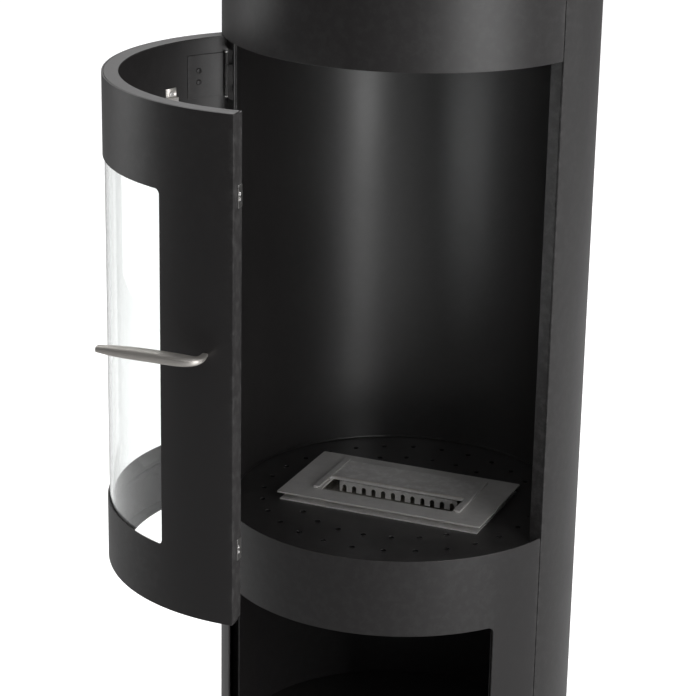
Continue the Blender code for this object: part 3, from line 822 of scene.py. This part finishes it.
@dataclass
class Firebox:
    """Liner, jambs, perforated floor and vented ceiling."""

    shop: Shop
    liner_sheet: float = 0.0015
    bead_depth: float = 0.002
    bead_height: float = 0.0026
    jamb_sheet: float = 0.002
    jamb_depth: float = 0.0157
    jamb_inner: float = 0.2070
    jamb_bearing: float = 69.05
    hole_radius: float = 0.0035
    rings: tuple[tuple[float, int], ...] = ((0.173, 28), (0.133, 24))
    burner_half: float = 0.085
    cutout: tuple[float, float] = (0.250, 0.136)
    vents: int = 12
    vent_radius: float = 0.009
    vent_ring: float = 0.120

    def build(self) -> None:
        """Model the firebox from the back to the front."""
        self._liner()
        self._jambs()
        self._floor()
        self._ceiling()

    def _liner(self) -> None:
        """The curved inner wall."""
        low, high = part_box("firebox_liner")
        outer = high.x
        edge = math.degrees(math.acos(-low.y / outer))
        item = Rolled(outer, outer - self.liner_sheet, edge, 360 - edge, low.z, high.z,
                      0.0003).make()
        self.shop.deliver(item, "curved_liner", Slot.HEAT, Rides.BODY, "firebox_liner")
        inner = outer - self.liner_sheet - 0.0001
        bead = Rolled(inner, inner - self.bead_depth, edge + 0.5, 359.5 - edge, low.z - 0.0001,
                      low.z + self.bead_height, 0.0009).make()
        self.shop.deliver(bead, "liner_bead", Slot.HEAT, Rides.BODY)

    def _jambs(self) -> None:
        """The edge posts beside the opening."""
        for node, side in (("left_jamb", -1), ("right_jamb", 1)):
            low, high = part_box(node)
            near, far = sorted((0.0, side * self.jamb_sheet))
            item = ease(cube((near, -self.jamb_depth, low.z), (far, 0.0, high.z)), 0.0005)
            settle(item, polar(self.jamb_inner, side * self.jamb_bearing, 0))
            self.shop.deliver(item, f"{node}_post", Slot.COAT, Rides.BODY, node)

    def _floor(self) -> None:
        """The perforated floor disc with the burner's cut-out."""
        low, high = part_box("firebox_floor")
        points = [bearing_point(ring, 360 * index / count)
                  for ring, count in self.rings for index in range(count)]
        drills = [rod(self.hole_radius, low.z - PAST, high.z + PAST,
                      Matrix.Translation((*point.xy, 0)), 24)
                  for point in points if point.length > 0.15 or abs(point.y) > self.burner_half]
        half_x, half_y = (side / 2 for side in self.cutout)
        opening = cube((-half_x, -half_y, low.z - PAST), (half_x, half_y, high.z + PAST))
        self.shop.disc("firebox_floor", "perforated_floor", Slot.HEAT, 240, join(drills), opening)

    def _ceiling(self) -> None:
        """The vented ceiling plate."""
        low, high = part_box("firebox_ceiling")
        points = [bearing_point(self.vent_ring, 360 * index / self.vents)
                  for index in range(self.vents)]
        drills = [rod(self.vent_radius, low.z - PAST, high.z + PAST, Matrix.Translation(point))
                  for point in points]
        self.shop.disc("firebox_ceiling", "vented_ceiling", Slot.HEAT, 180, join(drills))


@dataclass
class Crown:
    """The recessed top plate with its ring of vent slots."""

    shop: Shop
    slots: int = 16
    half_width: float = 0.003
    near: float = 0.085
    far: float = 0.150

    def build(self) -> None:
        """Model the plate and mill round-ended slots through it."""
        low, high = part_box("top_plate")
        bottom, top = low.z - PAST, high.z + PAST
        near, far = self.near + self.half_width, self.far - self.half_width
        cutters = []
        for index in range(self.slots):
            slot = cube((-self.half_width, -far, bottom), (self.half_width, -near, top))
            ends = [rod(self.half_width, bottom, top, Matrix.Translation((0, -reach, 0)), 16)
                    for reach in (near, far)]
            carve(slot, *ends, union=True)
            cutters.append(settle(slot, polar(0, 360 * index / self.slots, 0)))
        self.shop.disc("top_plate", "slotted_top", Slot.COAT, 240, join(cutters))


# ------------------------------------------------------------------ door

@dataclass
class Door:
    """The curved door, modelled closed and then swung open about its hinge."""

    shop: Shop
    half_angle: float = 68.3
    skin: float = 0.0018
    flange_inner: float = 0.2063
    flange_sheet: float = 0.002
    latch_inner: float = 0.1990
    latch_sheet: float = 0.0016
    stile_inner: float = 0.2030
    stile_sheet: float = 0.0012
    window: Window = field(default_factory=lambda: Window(44.4, 0.52035, 0.9276, 0.006))
    glass_sheet: float = 0.004
    glass_angle: float = 50.0
    clip_bearing: float = 47.3
    clip_sheet: float = 0.0012
    clip_screw: PanScrew = PanScrew(0.0034, 0.0018)
    magnet_rise: float = 0.0028

    def __post_init__(self) -> None:
        """Read the hinge from the frame's joint."""
        joint = next(j for j in frame["joints"] if j["name"] == "door_hinge")
        hinge = Vector((joint["pos_m"][0], joint["pos_m"][1], 0))
        turn = Matrix.Rotation(-math.radians(joint["range_deg"][1]), 4, "Z")
        self.open = Matrix.Translation(hinge) @ turn @ Matrix.Translation(-hinge)
        self.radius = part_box("outer_shell")[1].x
        self.inner = self.radius - self.skin
        self.low, self.high = (corner.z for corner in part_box("door_skin"))

    def _deliver(self, item: Item, name: str, slot: Slot, *replaced: str) -> None:
        """Swing a piece open and hand it over."""
        settle(item, self.open)
        self.shop.deliver(item, name, slot, Rides.DOOR, *replaced)

    def build(self) -> None:
        """Model the door from the outside in."""
        skin = Rolled(self.radius, self.inner, -self.half_angle, self.half_angle, self.low,
                      self.high, 0.0006, windows=[self.window]).make()
        self._deliver(skin, "door_panel", Slot.COAT, "door_skin")
        outer = self.inner - GAP
        flange = self.half_angle - 0.75
        for name, node, low in (("door_top_rim", "door_top_flange", self.high - self.flange_sheet),
                                ("door_bottom_rim", "door_bottom_flange", self.low)):
            rim = Rolled(outer, self.flange_inner, -flange, self.half_angle - 0.03, low,
                         low + self.flange_sheet, 0.0006).make()
            self._deliver(rim, name, Slot.COAT, node)
        self._stiles(outer)
        low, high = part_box("door_glass")
        pane_outer = self.inner - 0.0004
        pane = Rolled(pane_outer, pane_outer - self.glass_sheet, -self.glass_angle,
                      self.glass_angle, low.z, high.z, 0.0005, 1.0).make()
        self._deliver(pane, "curved_pane", Slot.GLASS, "door_glass")
        self._clips()
        self._catches()
        Handle(self.shop, self.inner).build(self.open)

    def _stiles(self, outer: float) -> None:
        """The upright flanges on the free edge and on the hinge edge."""
        sheet = self.flange_sheet + 0.0001
        latch = cube((-self.latch_sheet, self.latch_inner - outer, self.low + sheet),
                     (0.0, 0.0, self.high - sheet))
        settle(ease(latch, 0.0005), polar(self.latch_inner, self.half_angle, 0))
        self._deliver(latch, "latch_edge", Slot.COAT, "door_latch_stile")
        hinge = cube((0.0, self.stile_inner - outer, self.low), (self.stile_sheet, 0.0, self.high))
        for tag in ("lower", "upper"):
            low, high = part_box(f"{tag}_hinge_leaf")
            carve(hinge, cube((-0.004, -0.03, low.z - 0.004), (0.004, -0.0035, high.z + 0.004)))
        settle(ease(hinge, 0.0003), polar(self.stile_inner, -self.half_angle, 0))
        self._deliver(hinge, "hinge_edge", Slot.COAT, "door_hinge_stile")

    def _clips(self) -> None:
        """Four bent clips that hold the pane, each under one screw."""
        face = self.inner - 0.0004 - self.glass_sheet - 0.0006
        foot = face - self.inner + 0.0006
        for row, edge, up in (("lower", self.window.low, -1), ("upper", self.window.high, 1)):
            for column, side in (("left", -1), ("right", 1)):
                place = polar(face, side * self.clip_bearing, edge)

                def part(near: float, far: float, outward: float, inward: float,
                         half: float = 0.008) -> tuple:
                    """The corners of one leg of the clip."""
                    low, high = sorted((up * near, up * far))
                    return (-half, outward, low), (half, inward, high)

                sheet = self.clip_sheet
                clip = bar((part(0.014, 0.0242, 0.0, sheet), part(0.023, 0.0242, foot, sheet),
                            part(0.023, 0.035, foot, foot + sheet)), 0.0004, place)
                tag = f"{row}_{column}"
                self._deliver(clip, f"pane_clip_{tag}", Slot.BRUSHED, f"glass_clip_{tag}")
                seat = place @ Matrix.Translation((0, foot + sheet, up * 0.028)) @ TIP_IN
                self._deliver(self.clip_screw.make(seat), f"pane_screw_{tag}",
                              Slot.BURNER, f"clip_screw_{tag}")

    def _catches(self) -> None:
        """A steel plate with two domed magnets at two heights of the free edge."""
        for tag in ("lower", "upper"):
            low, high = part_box(f"{tag}_catch_plate")
            plate = cube((0.0001, -0.2125, -0.0125), (0.0012, -0.2005, 0.0125))
            round_corners(plate, 0, 0.0018, 4)
            soften(plate, 0.0003)
            for rise in (-self.magnet_rise, self.magnet_rise):
                seat = Matrix.Translation((0.0010, -0.2090, rise)) @ TIP_RIGHT
                stud = domed(0.0022, 0.0017, -0.0004, 0.4, 24,
                             ((0.12, 0.24), (0.22, 0.20), (0.28, 0.12), (0.22, 0.04)))
                carve(plate, settle(stud, seat), union=True)
            smooth(plate)
            settle(plate, polar(0, self.half_angle, (low.z + high.z) / 2))
            self._deliver(plate, f"{tag}_magnet_catch", Slot.BRIGHT, f"{tag}_catch_plate")


@dataclass
class Handle:
    """A flattened bar that leaves one fixing, bends round and runs free past the window.

    Its plan is given on the closed door in body radii, across and to the front.
    """

    shop: Shop
    skin_inner: float
    plan: tuple[tuple[float, float], ...] = (
        (0.868, 0.501), (0.920, 0.514), (0.958, 0.540), (0.955, 0.590), (0.918, 0.668),
        (0.874, 0.755), (0.834, 0.850), (0.795, 0.946), (0.766, 1.009))
    widths: tuple[float, ...] = (0.38, 0.44, 0.72, 0.96, 1.0, 1.0, 0.98, 0.84, 0.58)
    half_depth: float = 0.0095
    half_height: float = 0.0060
    squareness: float = 2.9
    tip_round: float = 0.0027
    fixing: PanScrew = PanScrew(0.0042, 0.0026)

    def _section(self) -> Item:
        """The bar's rounded cross section, as a closed curve."""
        curve = bpy.data.curves.new("bar_section", "CURVE")
        count = 48
        line = curve.splines.new("POLY")
        line.points.add(count - 1)
        line.use_cyclic_u = True
        power = 2 / self.squareness
        for index, point in enumerate(line.points):
            angle = 2 * math.pi * index / count
            across, up = math.cos(angle), math.sin(angle)
            point.co = (math.copysign(abs(across) ** power, across) * self.half_depth,
                        math.copysign(abs(up) ** power, up) * self.half_height, 0, 1)
        item = bpy.data.objects.new("bar_section", curve)
        show(item)
        return item

    def build(self, swing: Matrix) -> None:
        """Sweep the section along the plan, trim it at the skin and round its free end.

        Args:
            swing: turns the closed door's pieces to where they stand.
        """
        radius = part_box("outer_shell")[1].x
        low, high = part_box("handle")
        height = (low.z + high.z) / 2
        section = self._section()
        curve = bpy.data.curves.new("bar_line", "CURVE")
        curve.dimensions = "3D"
        curve.twist_mode = "Z_UP"
        curve.resolution_u = 8
        curve.bevel_mode = "OBJECT"
        curve.bevel_object = section
        curve.use_fill_caps = True
        line = curve.splines.new("NURBS")
        line.points.add(len(self.plan) - 1)
        line.order_u = 4
        line.use_endpoint_u = True
        for point, (across, front), width in zip(line.points, self.plan, self.widths):
            point.co = (across * radius, -front * radius, height, 1)
            point.radius = width
        item = bpy.data.objects.new("bar_line", curve)
        show(item)
        pick(item)
        bpy.ops.object.convert(target="MESH")
        item = bpy.context.object
        bpy.data.objects.remove(section, do_unlink=True)
        with editing(item, "VERT"):
            bpy.ops.mesh.select_all(action="SELECT")
            bpy.ops.mesh.remove_doubles(threshold=0.00001)
            bpy.ops.mesh.normals_make_consistent(inside=False)
        bearing = math.degrees(math.atan2(*self.plan[0]))
        trim = cube((-0.02, -0.0017, -0.02), (0.02, 0.03, 0.02))
        carve(item, settle(trim, polar(self.skin_inner, bearing, height)))
        tip = Vector((self.plan[-1][0] * radius, -self.plan[-1][1] * radius, height))
        with editing(item):
            choose_faces(item, lambda centre, normal: (centre - tip).length < 0.001)
            bpy.ops.mesh.bevel(offset=self.tip_round, segments=6, affect="EDGES")
        smooth(item)
        settle(item, swing)
        self.shop.deliver(item, "door_handle", Slot.BRUSHED, Rides.DOOR, "handle")
        seat = polar(self.skin_inner, bearing, height) @ TIP_IN
        screw = settle(self.fixing.make(seat), swing)
        self.shop.deliver(screw, "handle_fixing", Slot.BRIGHT, Rides.DOOR, "handle_screw")


@dataclass
class Hinge:
    """One of the two hinges: the door's leaf, the body's bracket and the pin between them."""

    shop: Shop
    tag: str
    bearing: float = -67.2
    radius: float = 0.2195
    jamb_bearing: float = -69.05
    knuckle: float = 0.0026
    middle_half: float = 0.0117
    notch_half: float = 0.012
    leaf_sheet: float = 0.0012
    leaf_end: float = -54.0
    screw_bearing: float = -58.0
    leaf_screw_rise: float = 0.007
    leaf_screw: PanScrew = PanScrew(0.0034, 0.0016)
    foot_half: float = 0.024
    foot_screw_rise: float = 0.018
    foot_screw: PanScrew = PanScrew(0.0020, 0.0011)
    pin: float = 0.0012
    pin_head: float = 0.0021
    pin_head_height: float = 0.0016
    rounding: float = 0.0004

    def _deliver(self, item: Item, name: str, node: str, rides: Rides = Rides.BODY,
                 slot: Slot = Slot.COAT) -> None:
        """Hand over a piece; its name and its node start with the hinge's tag."""
        self.shop.deliver(item, f"{self.tag}_{name}", slot, rides, f"{self.tag}_{node}")

    def build(self, swing: Matrix, skin_inner: float) -> None:
        """Model the hinge.

        Args:
            swing: turns the closed door's pieces to where they stand.
            skin_inner: radius of the skin's inner face.
        """
        low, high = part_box(f"{self.tag}_hinge_leaf")
        middle, half = (low.z + high.z) / 2, (high.z - low.z) / 2
        axis = Matrix.Translation(bearing_point(self.radius, self.bearing, middle))
        outer = skin_inner - 0.0001
        notch = self.notch_half
        leaf = Rolled(outer, outer - self.leaf_sheet, self.bearing, self.leaf_end, middle - half,
                      middle + half, self.rounding).make()
        carve(leaf, rod(self.knuckle + 0.0009, -notch, notch, axis))
        for index, (near, far) in enumerate(((-half, -notch), (notch, half))):
            barrel = ease(rod(self.knuckle, near, far, axis), self.rounding)
            self._deliver(settle(barrel, swing), f"door_knuckle_{index + 1}", "hinge_leaf",
                          Rides.DOOR)
        smooth(leaf)
        self._deliver(settle(leaf, swing), "hinge_plate", "hinge_leaf", Rides.DOOR)
        for index, rise in enumerate((-self.leaf_screw_rise, self.leaf_screw_rise)):
            seat = polar(outer - self.leaf_sheet, self.screw_bearing, middle + rise) @ TIP_IN
            self._deliver(settle(self.leaf_screw.make(seat), swing), f"plate_screw_{index + 1}",
                          f"leaf_screw_{index + 1}", Rides.DOOR)
        self._bracket(middle)
        self._pin(axis, half)

    def _bracket(self, middle: float) -> None:
        """The angled bracket on the jamb, with the middle knuckle and its two screws."""
        place = polar(self.radius, self.bearing, middle)
        end = 0.0015 - self.radius * math.radians(self.bearing - self.jamb_bearing)
        half = self.middle_half
        arm = bar((((-0.0011, 0, -half), (0.0011, 0.0105, half)),
                   ((end, 0.0083, -half), (0.0011, 0.0105, half))), self.rounding, place)
        foot = cube((0.0003, 0.0078, -self.foot_half), (0.0018, 0.0124, self.foot_half))
        soften(foot, self.rounding)
        jamb = polar(self.radius, self.jamb_bearing, middle)
        barrel = ease(rod(self.knuckle, -half, half, place), self.rounding)
        self._deliver(barrel, "arm_knuckle", "hinge_bracket")
        carve(arm, settle(foot, jamb), union=True)
        smooth(arm)
        self._deliver(arm, "hinge_arm", "hinge_bracket")
        for index, rise in enumerate((-self.foot_screw_rise, self.foot_screw_rise)):
            seat = jamb @ Matrix.Translation((0.0018, 0.0101, rise)) @ TIP_RIGHT
            self._deliver(self.foot_screw.make(seat), f"arm_screw_{index + 1}",
                          f"bracket_screw_{index + 1}")

    def _pin(self, axis: Matrix, half: float) -> None:
        """The pin with a small head at each end."""
        reach, height = half + 0.0002, self.pin_head_height
        pin = rod(self.pin, -reach, reach, axis, 24)
        for end in (-half - 0.0018, reach):
            head = rod(self.pin_head, end, end + height, axis, 24)
            soften(head, 0.0005)
            carve(pin, head, union=True)
        smooth(pin)
        self._deliver(pin, "pin", "hinge_pin", slot=Slot.BURNER)


# ------------------------------------------------------------------ burner

@dataclass
class Burner:
    """The loose burner: top plate, mouth, comb, guides, sliding lid and tank."""

    shop: Shop
    turn: float = -2.5
    half_length: float = 0.136
    half_depth: float = 0.076
    sheet: float = 0.002
    corner: float = 0.0025
    mouth_half: float = 0.088
    mouth_front: float = -0.045
    mouth_back: float = -0.005
    lid_half: float = 0.0922
    lid_front: float = -0.0095
    lid_back: float = 0.055
    lid_sheet: float = 0.0015
    lip_half: float = 0.0895
    lip_height: float = 0.0055
    teeth: int = 12
    comb_half: float = 0.080
    comb_head: float = 0.0078
    comb_drop: float = 0.0140
    bed: tuple[float, float] = (0.118, 0.058)

    def __post_init__(self) -> None:
        """Read the plate's height from the frame."""
        self.place = Matrix.Rotation(math.radians(self.turn), 4, "Z")
        self.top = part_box("burner_plate")[1].z

    def _deliver(self, item: Item, name: str, rides: Rides, node: str,
                 slot: Slot = Slot.BURNER) -> None:
        """Turn a piece with the burner and hand it over."""
        settle(item, self.place)
        self.shop.deliver(item, name, slot, rides, node)

    def build(self) -> None:
        """Model the burner from the plate down."""
        plate = cube((-self.half_length, -self.half_depth, self.top - self.sheet),
                     (self.half_length, self.half_depth, self.top))
        round_corners(plate, 2, self.corner)
        mouth = cube((-self.mouth_half, self.mouth_front, self.top - 0.01),
                     (self.mouth_half, self.mouth_back, self.top + 0.01))
        round_corners(mouth, 2, 0.002, 4)
        carve(plate, mouth)
        self._deliver(ease(plate, 0.0005), "top_cover", Rides.BURNER, "burner_plate")
        self._guides()
        self._comb()
        self._lid()
        self._filler()
        self.shop.keep("burner_tank")

    def _guides(self) -> None:
        """Angle strips that hold the lid's edges down."""
        base = self.top + GAP
        step = base + self.lid_sheet + GAP
        for side, node in ((-1, "burner_guide_left"), (1, "burner_guide_right")):

            def part(near: float, far: float, low: float) -> tuple:
                """The corners of one leg of the strip."""
                first, second = sorted((side * near, side * far))
                return (first, -0.046, low), (second, 0.058, step + 0.001)

            strip = bar((part(0.0926, 0.0985, base), part(0.0904, 0.0985, step)), 0.0003)
            self._deliver(strip, f"{node}_strip", Rides.BURNER, node)

    def _comb(self) -> None:
        """The comb below the back of the mouth, with round-topped slots."""
        high = self.top - self.sheet - GAP
        low = high - self.comb_drop
        front = self.mouth_back + 0.0002
        comb = cube((-self.comb_half, front, low), (self.comb_half, front + 0.001, high))
        pitch = 2 * self.comb_half / self.teeth
        half, head = pitch * 0.22, high - self.comb_head
        slot = cube((-half, -0.004, low - 0.002), (half, 0.004, head))
        top = Matrix.Translation((0, 0, head)) @ TIP_OUT
        carve(slot, rod(half, -0.004, 0.004, top, 20), union=True)
        cutters = []
        for index in range(self.teeth):
            copy = slot.copy()
            copy.data = slot.data.copy()
            show(copy)
            across = -self.comb_half + (index + 0.5) * pitch
            cutters.append(settle(copy, Matrix.Translation((across, front, 0))))
        bpy.data.objects.remove(slot, do_unlink=True)
        carve(comb, join(cutters))
        self._deliver(ease(comb, 0.0002, 1), "mouth_comb", Rides.BURNER, "burner_baffle")

    def _lid(self) -> None:
        """The sliding lid with its upturned, hemmed front lip."""
        low = self.top + GAP
        crest = self.top + self.lip_height
        lid = cube((-self.lid_half, self.lid_front, low),
                   (self.lid_half, self.lid_back, low + self.lid_sheet))
        round_corners(lid, 2, 0.001, 3)
        lip = cube((-self.lip_half, self.lid_front, low),
                   (self.lip_half, self.lid_front + self.lid_sheet, crest - 0.0012))
        carve(lid, lip, union=True)
        self._deliver(ease(lid, 0.0002, 2, 50), "sliding_lid", Rides.LID, "burner_slider")
        hem = cube((-self.lip_half, self.lid_front - 0.0002, crest - 0.0022),
                   (self.lip_half, self.lid_front + self.lid_sheet + 0.0002, crest))
        settle(ease(hem, 0.0007, 3), self.place)
        self.shop.deliver(hem, "lid_hem", Slot.BRUSHED, Rides.LID)

    def _filler(self) -> None:
        """The ceramic fibre in the tank, with an uneven matted top."""
        low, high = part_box("burner_filler")
        half_x, half_y = self.bed
        filler = cube((-half_x, -half_y, low.z), (half_x, half_y, high.z - 0.0015))
        with editing(filler):
            choose_faces(filler, lambda centre, normal: normal.z > 0.9)
            bpy.ops.mesh.subdivide(number_cuts=40)
        texture = bpy.data.textures.new("matted_top", "CLOUDS")
        texture.noise_scale = 0.012
        texture.noise_depth = 3
        group = filler.vertex_groups.new(name="top")
        group.add([vertex.index for vertex in filler.data.vertices
                   if vertex.co.z > high.z - 0.002 and abs(vertex.co.x) < half_x - 0.001
                   and abs(vertex.co.y) < half_y - 0.001], 1.0, "REPLACE")
        modify(filler, "DISPLACE", texture=texture, strength=0.0028, mid_level=0.5, direction="Z",
               vertex_group="top")
        smooth(filler)
        self._deliver(filler, "fibre_bed", Rides.BURNER, "burner_filler", Slot.WOOL)


# ------------------------------------------------------------------ studio

@dataclass(frozen=True)
class SoftBox:
    """An area light that looks at a point."""

    name: str
    place: Triple
    target: Triple
    size: tuple[float, float]
    power: float

    def build(self) -> None:
        """Hang the light."""
        light = bpy.data.lights.new(self.name, "AREA")
        light.shape = "RECTANGLE"
        light.size, light.size_y = self.size
        light.energy = self.power
        item = bpy.data.objects.new(self.name, light)
        show(item)
        item.location = self.place
        aim = Vector(self.target) - Vector(self.place)
        item.rotation_euler = aim.to_track_quat("-Z", "Y").to_euler()


@dataclass
class Studio:
    """Pale floor, white surroundings, soft lights and the camera."""

    bearing: float = 18.6
    distance: float = 2.828
    rise: float = 0.8685
    pitch: float = 19.18
    yaw: float = -0.41
    roll: float = -1.40
    lens: float = 124.49
    shift: tuple[float, float] = (-0.0553, 0.0119)
    floor_tone: float = 0.36
    floor_lift: float = 0.92
    bright_side: Triple = (-0.25, 0.97, 0.0)
    dim_and_bright: tuple[float, float] = (0.03, 0.57)
    boxes: tuple[SoftBox, ...] = (
        SoftBox("overhead_box", (0.3, 1.9, 3.2), (0.0, 1.6, 0.0), (3.6, 3.0), 164.0),
        SoftBox("right_box", (1.95, -1.15, 0.80), (0.0, 0.0, 0.75), (1.3, 1.58), 30.0),
        SoftBox("front_box", (0.5, -2.9, 3.0), (0.0, 0.0, 0.5), (1.2, 1.2), 9.0),
        SoftBox("rear_right_box", (2.2, 1.2, 1.0), (0.0, 0.0, 0.75), (1.5, 2.0), 6.0),
        SoftBox("low_front_box", (0.75, -1.6, 0.28), (0.0, 0.0, 0.6), (1.2, 0.5), 0.7),
        SoftBox("left_box", (-2.2, -0.3, 1.0), (0.0, 0.0, 0.75), (1.2, 1.8), 9.0),
    )

    def build(self) -> None:
        """Set the studio up round the stove."""
        bpy.context.scene.view_settings.view_transform = "Standard"
        for box in self.boxes:
            box.build()
        self._floor()
        self._world()
        self._camera()

    def _floor(self) -> None:
        """A plain pale floor."""
        deselect()
        bpy.ops.mesh.primitive_plane_add(size=30.0, location=(0, 0, -0.0002))
        floor = bpy.context.object
        floor.name = "studio_floor"
        material, nodes, shader = blank_material("pale_floor")
        nodes.feed(shader, Base_Color=rgba((self.floor_tone,) * 3), Roughness=0.9,
                   Emission_Color=rgba((1.0, 1.0, 1.0)))
        path = nodes.add("LightPath")
        seen = nodes.math("MAXIMUM", path.outputs["Is Camera Ray"],
                          path.outputs["Is Transmission Ray"])
        nodes.feed(shader, Emission_Strength=nodes.math("MULTIPLY", seen, self.floor_lift))
        floor.data.materials.append(material)

    def _world(self) -> None:
        """White to the eye, and as light white behind the stove and dim before it."""
        world = bpy.data.worlds.new("studio_world")
        bpy.context.scene.world = world
        world.use_nodes = True
        nodes = Nodes(world.node_tree)
        world.node_tree.nodes.clear()
        place = nodes.add("TexCoord").outputs["Generated"]
        away = Vector(self.bright_side).normalized()
        facing = nodes.add("VectorMath", {"operation": "DOT_PRODUCT"}, i0=place,
                           i1=tuple(away)).outputs["Value"]
        glow = nodes.span(facing, 0.0, 0.7, *self.dim_and_bright)
        path = nodes.add("LightPath")
        bounced = nodes.math("MAXIMUM", path.outputs["Is Diffuse Ray"],
                             path.outputs["Is Glossy Ray"])
        strength = nodes.math("ADD", nodes.math("MULTIPLY", glow, bounced),
                              nodes.math("SUBTRACT", 1.0, bounced))
        shade = nodes.add("Background", Color=rgba((1.0, 1.0, 1.0)), Strength=strength)
        out = nodes.add("OutputWorld")
        nodes.tree.links.new(shade.outputs[0], out.inputs[0])

    def _camera(self) -> None:
        """The camera, at its bearing and height."""
        data = bpy.data.cameras.new("camera")
        data.sensor_width = 36.0
        data.lens = self.lens
        data.shift_x, data.shift_y = self.shift
        camera = bpy.data.objects.new("camera", data)
        show(camera)
        middle = (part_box("lower_front_panel")[1].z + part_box("top_front_band")[0].z) / 2
        yaw, pitch, roll = (math.radians(angle) for angle in (self.yaw, self.pitch, self.roll))
        forward = Vector((math.sin(yaw) * math.cos(pitch), math.cos(yaw) * math.cos(pitch),
                          -math.sin(pitch)))
        right = Vector((math.cos(yaw), -math.sin(yaw), 0))
        down = forward.cross(right)
        across = math.cos(roll) * right + math.sin(roll) * down
        below = math.cos(roll) * down - math.sin(roll) * right
        basis = Matrix((across, -below, -forward)).transposed().to_4x4()
        place = Matrix.Translation((0, -self.distance, middle + self.rise))
        camera.matrix_world = Matrix.Rotation(math.radians(self.bearing), 4, "Z") @ place @ basis
        bpy.context.scene.camera = camera


def main() -> None:
    """Build every sub-assembly and the studio."""
    logging.basicConfig(level=logging.INFO, format="%(name)s: %(message)s")
    shop = Shop(Finishes())
    Carcass(shop).build()
    Firebox(shop).build()
    Crown(shop).build()
    door = Door(shop)
    door.build()
    for tag in ("lower", "upper"):
        Hinge(shop, tag).build(door.open, door.inner)
    Burner(shop).build()
    Studio().build()


if __name__ == "__main__":
    main()
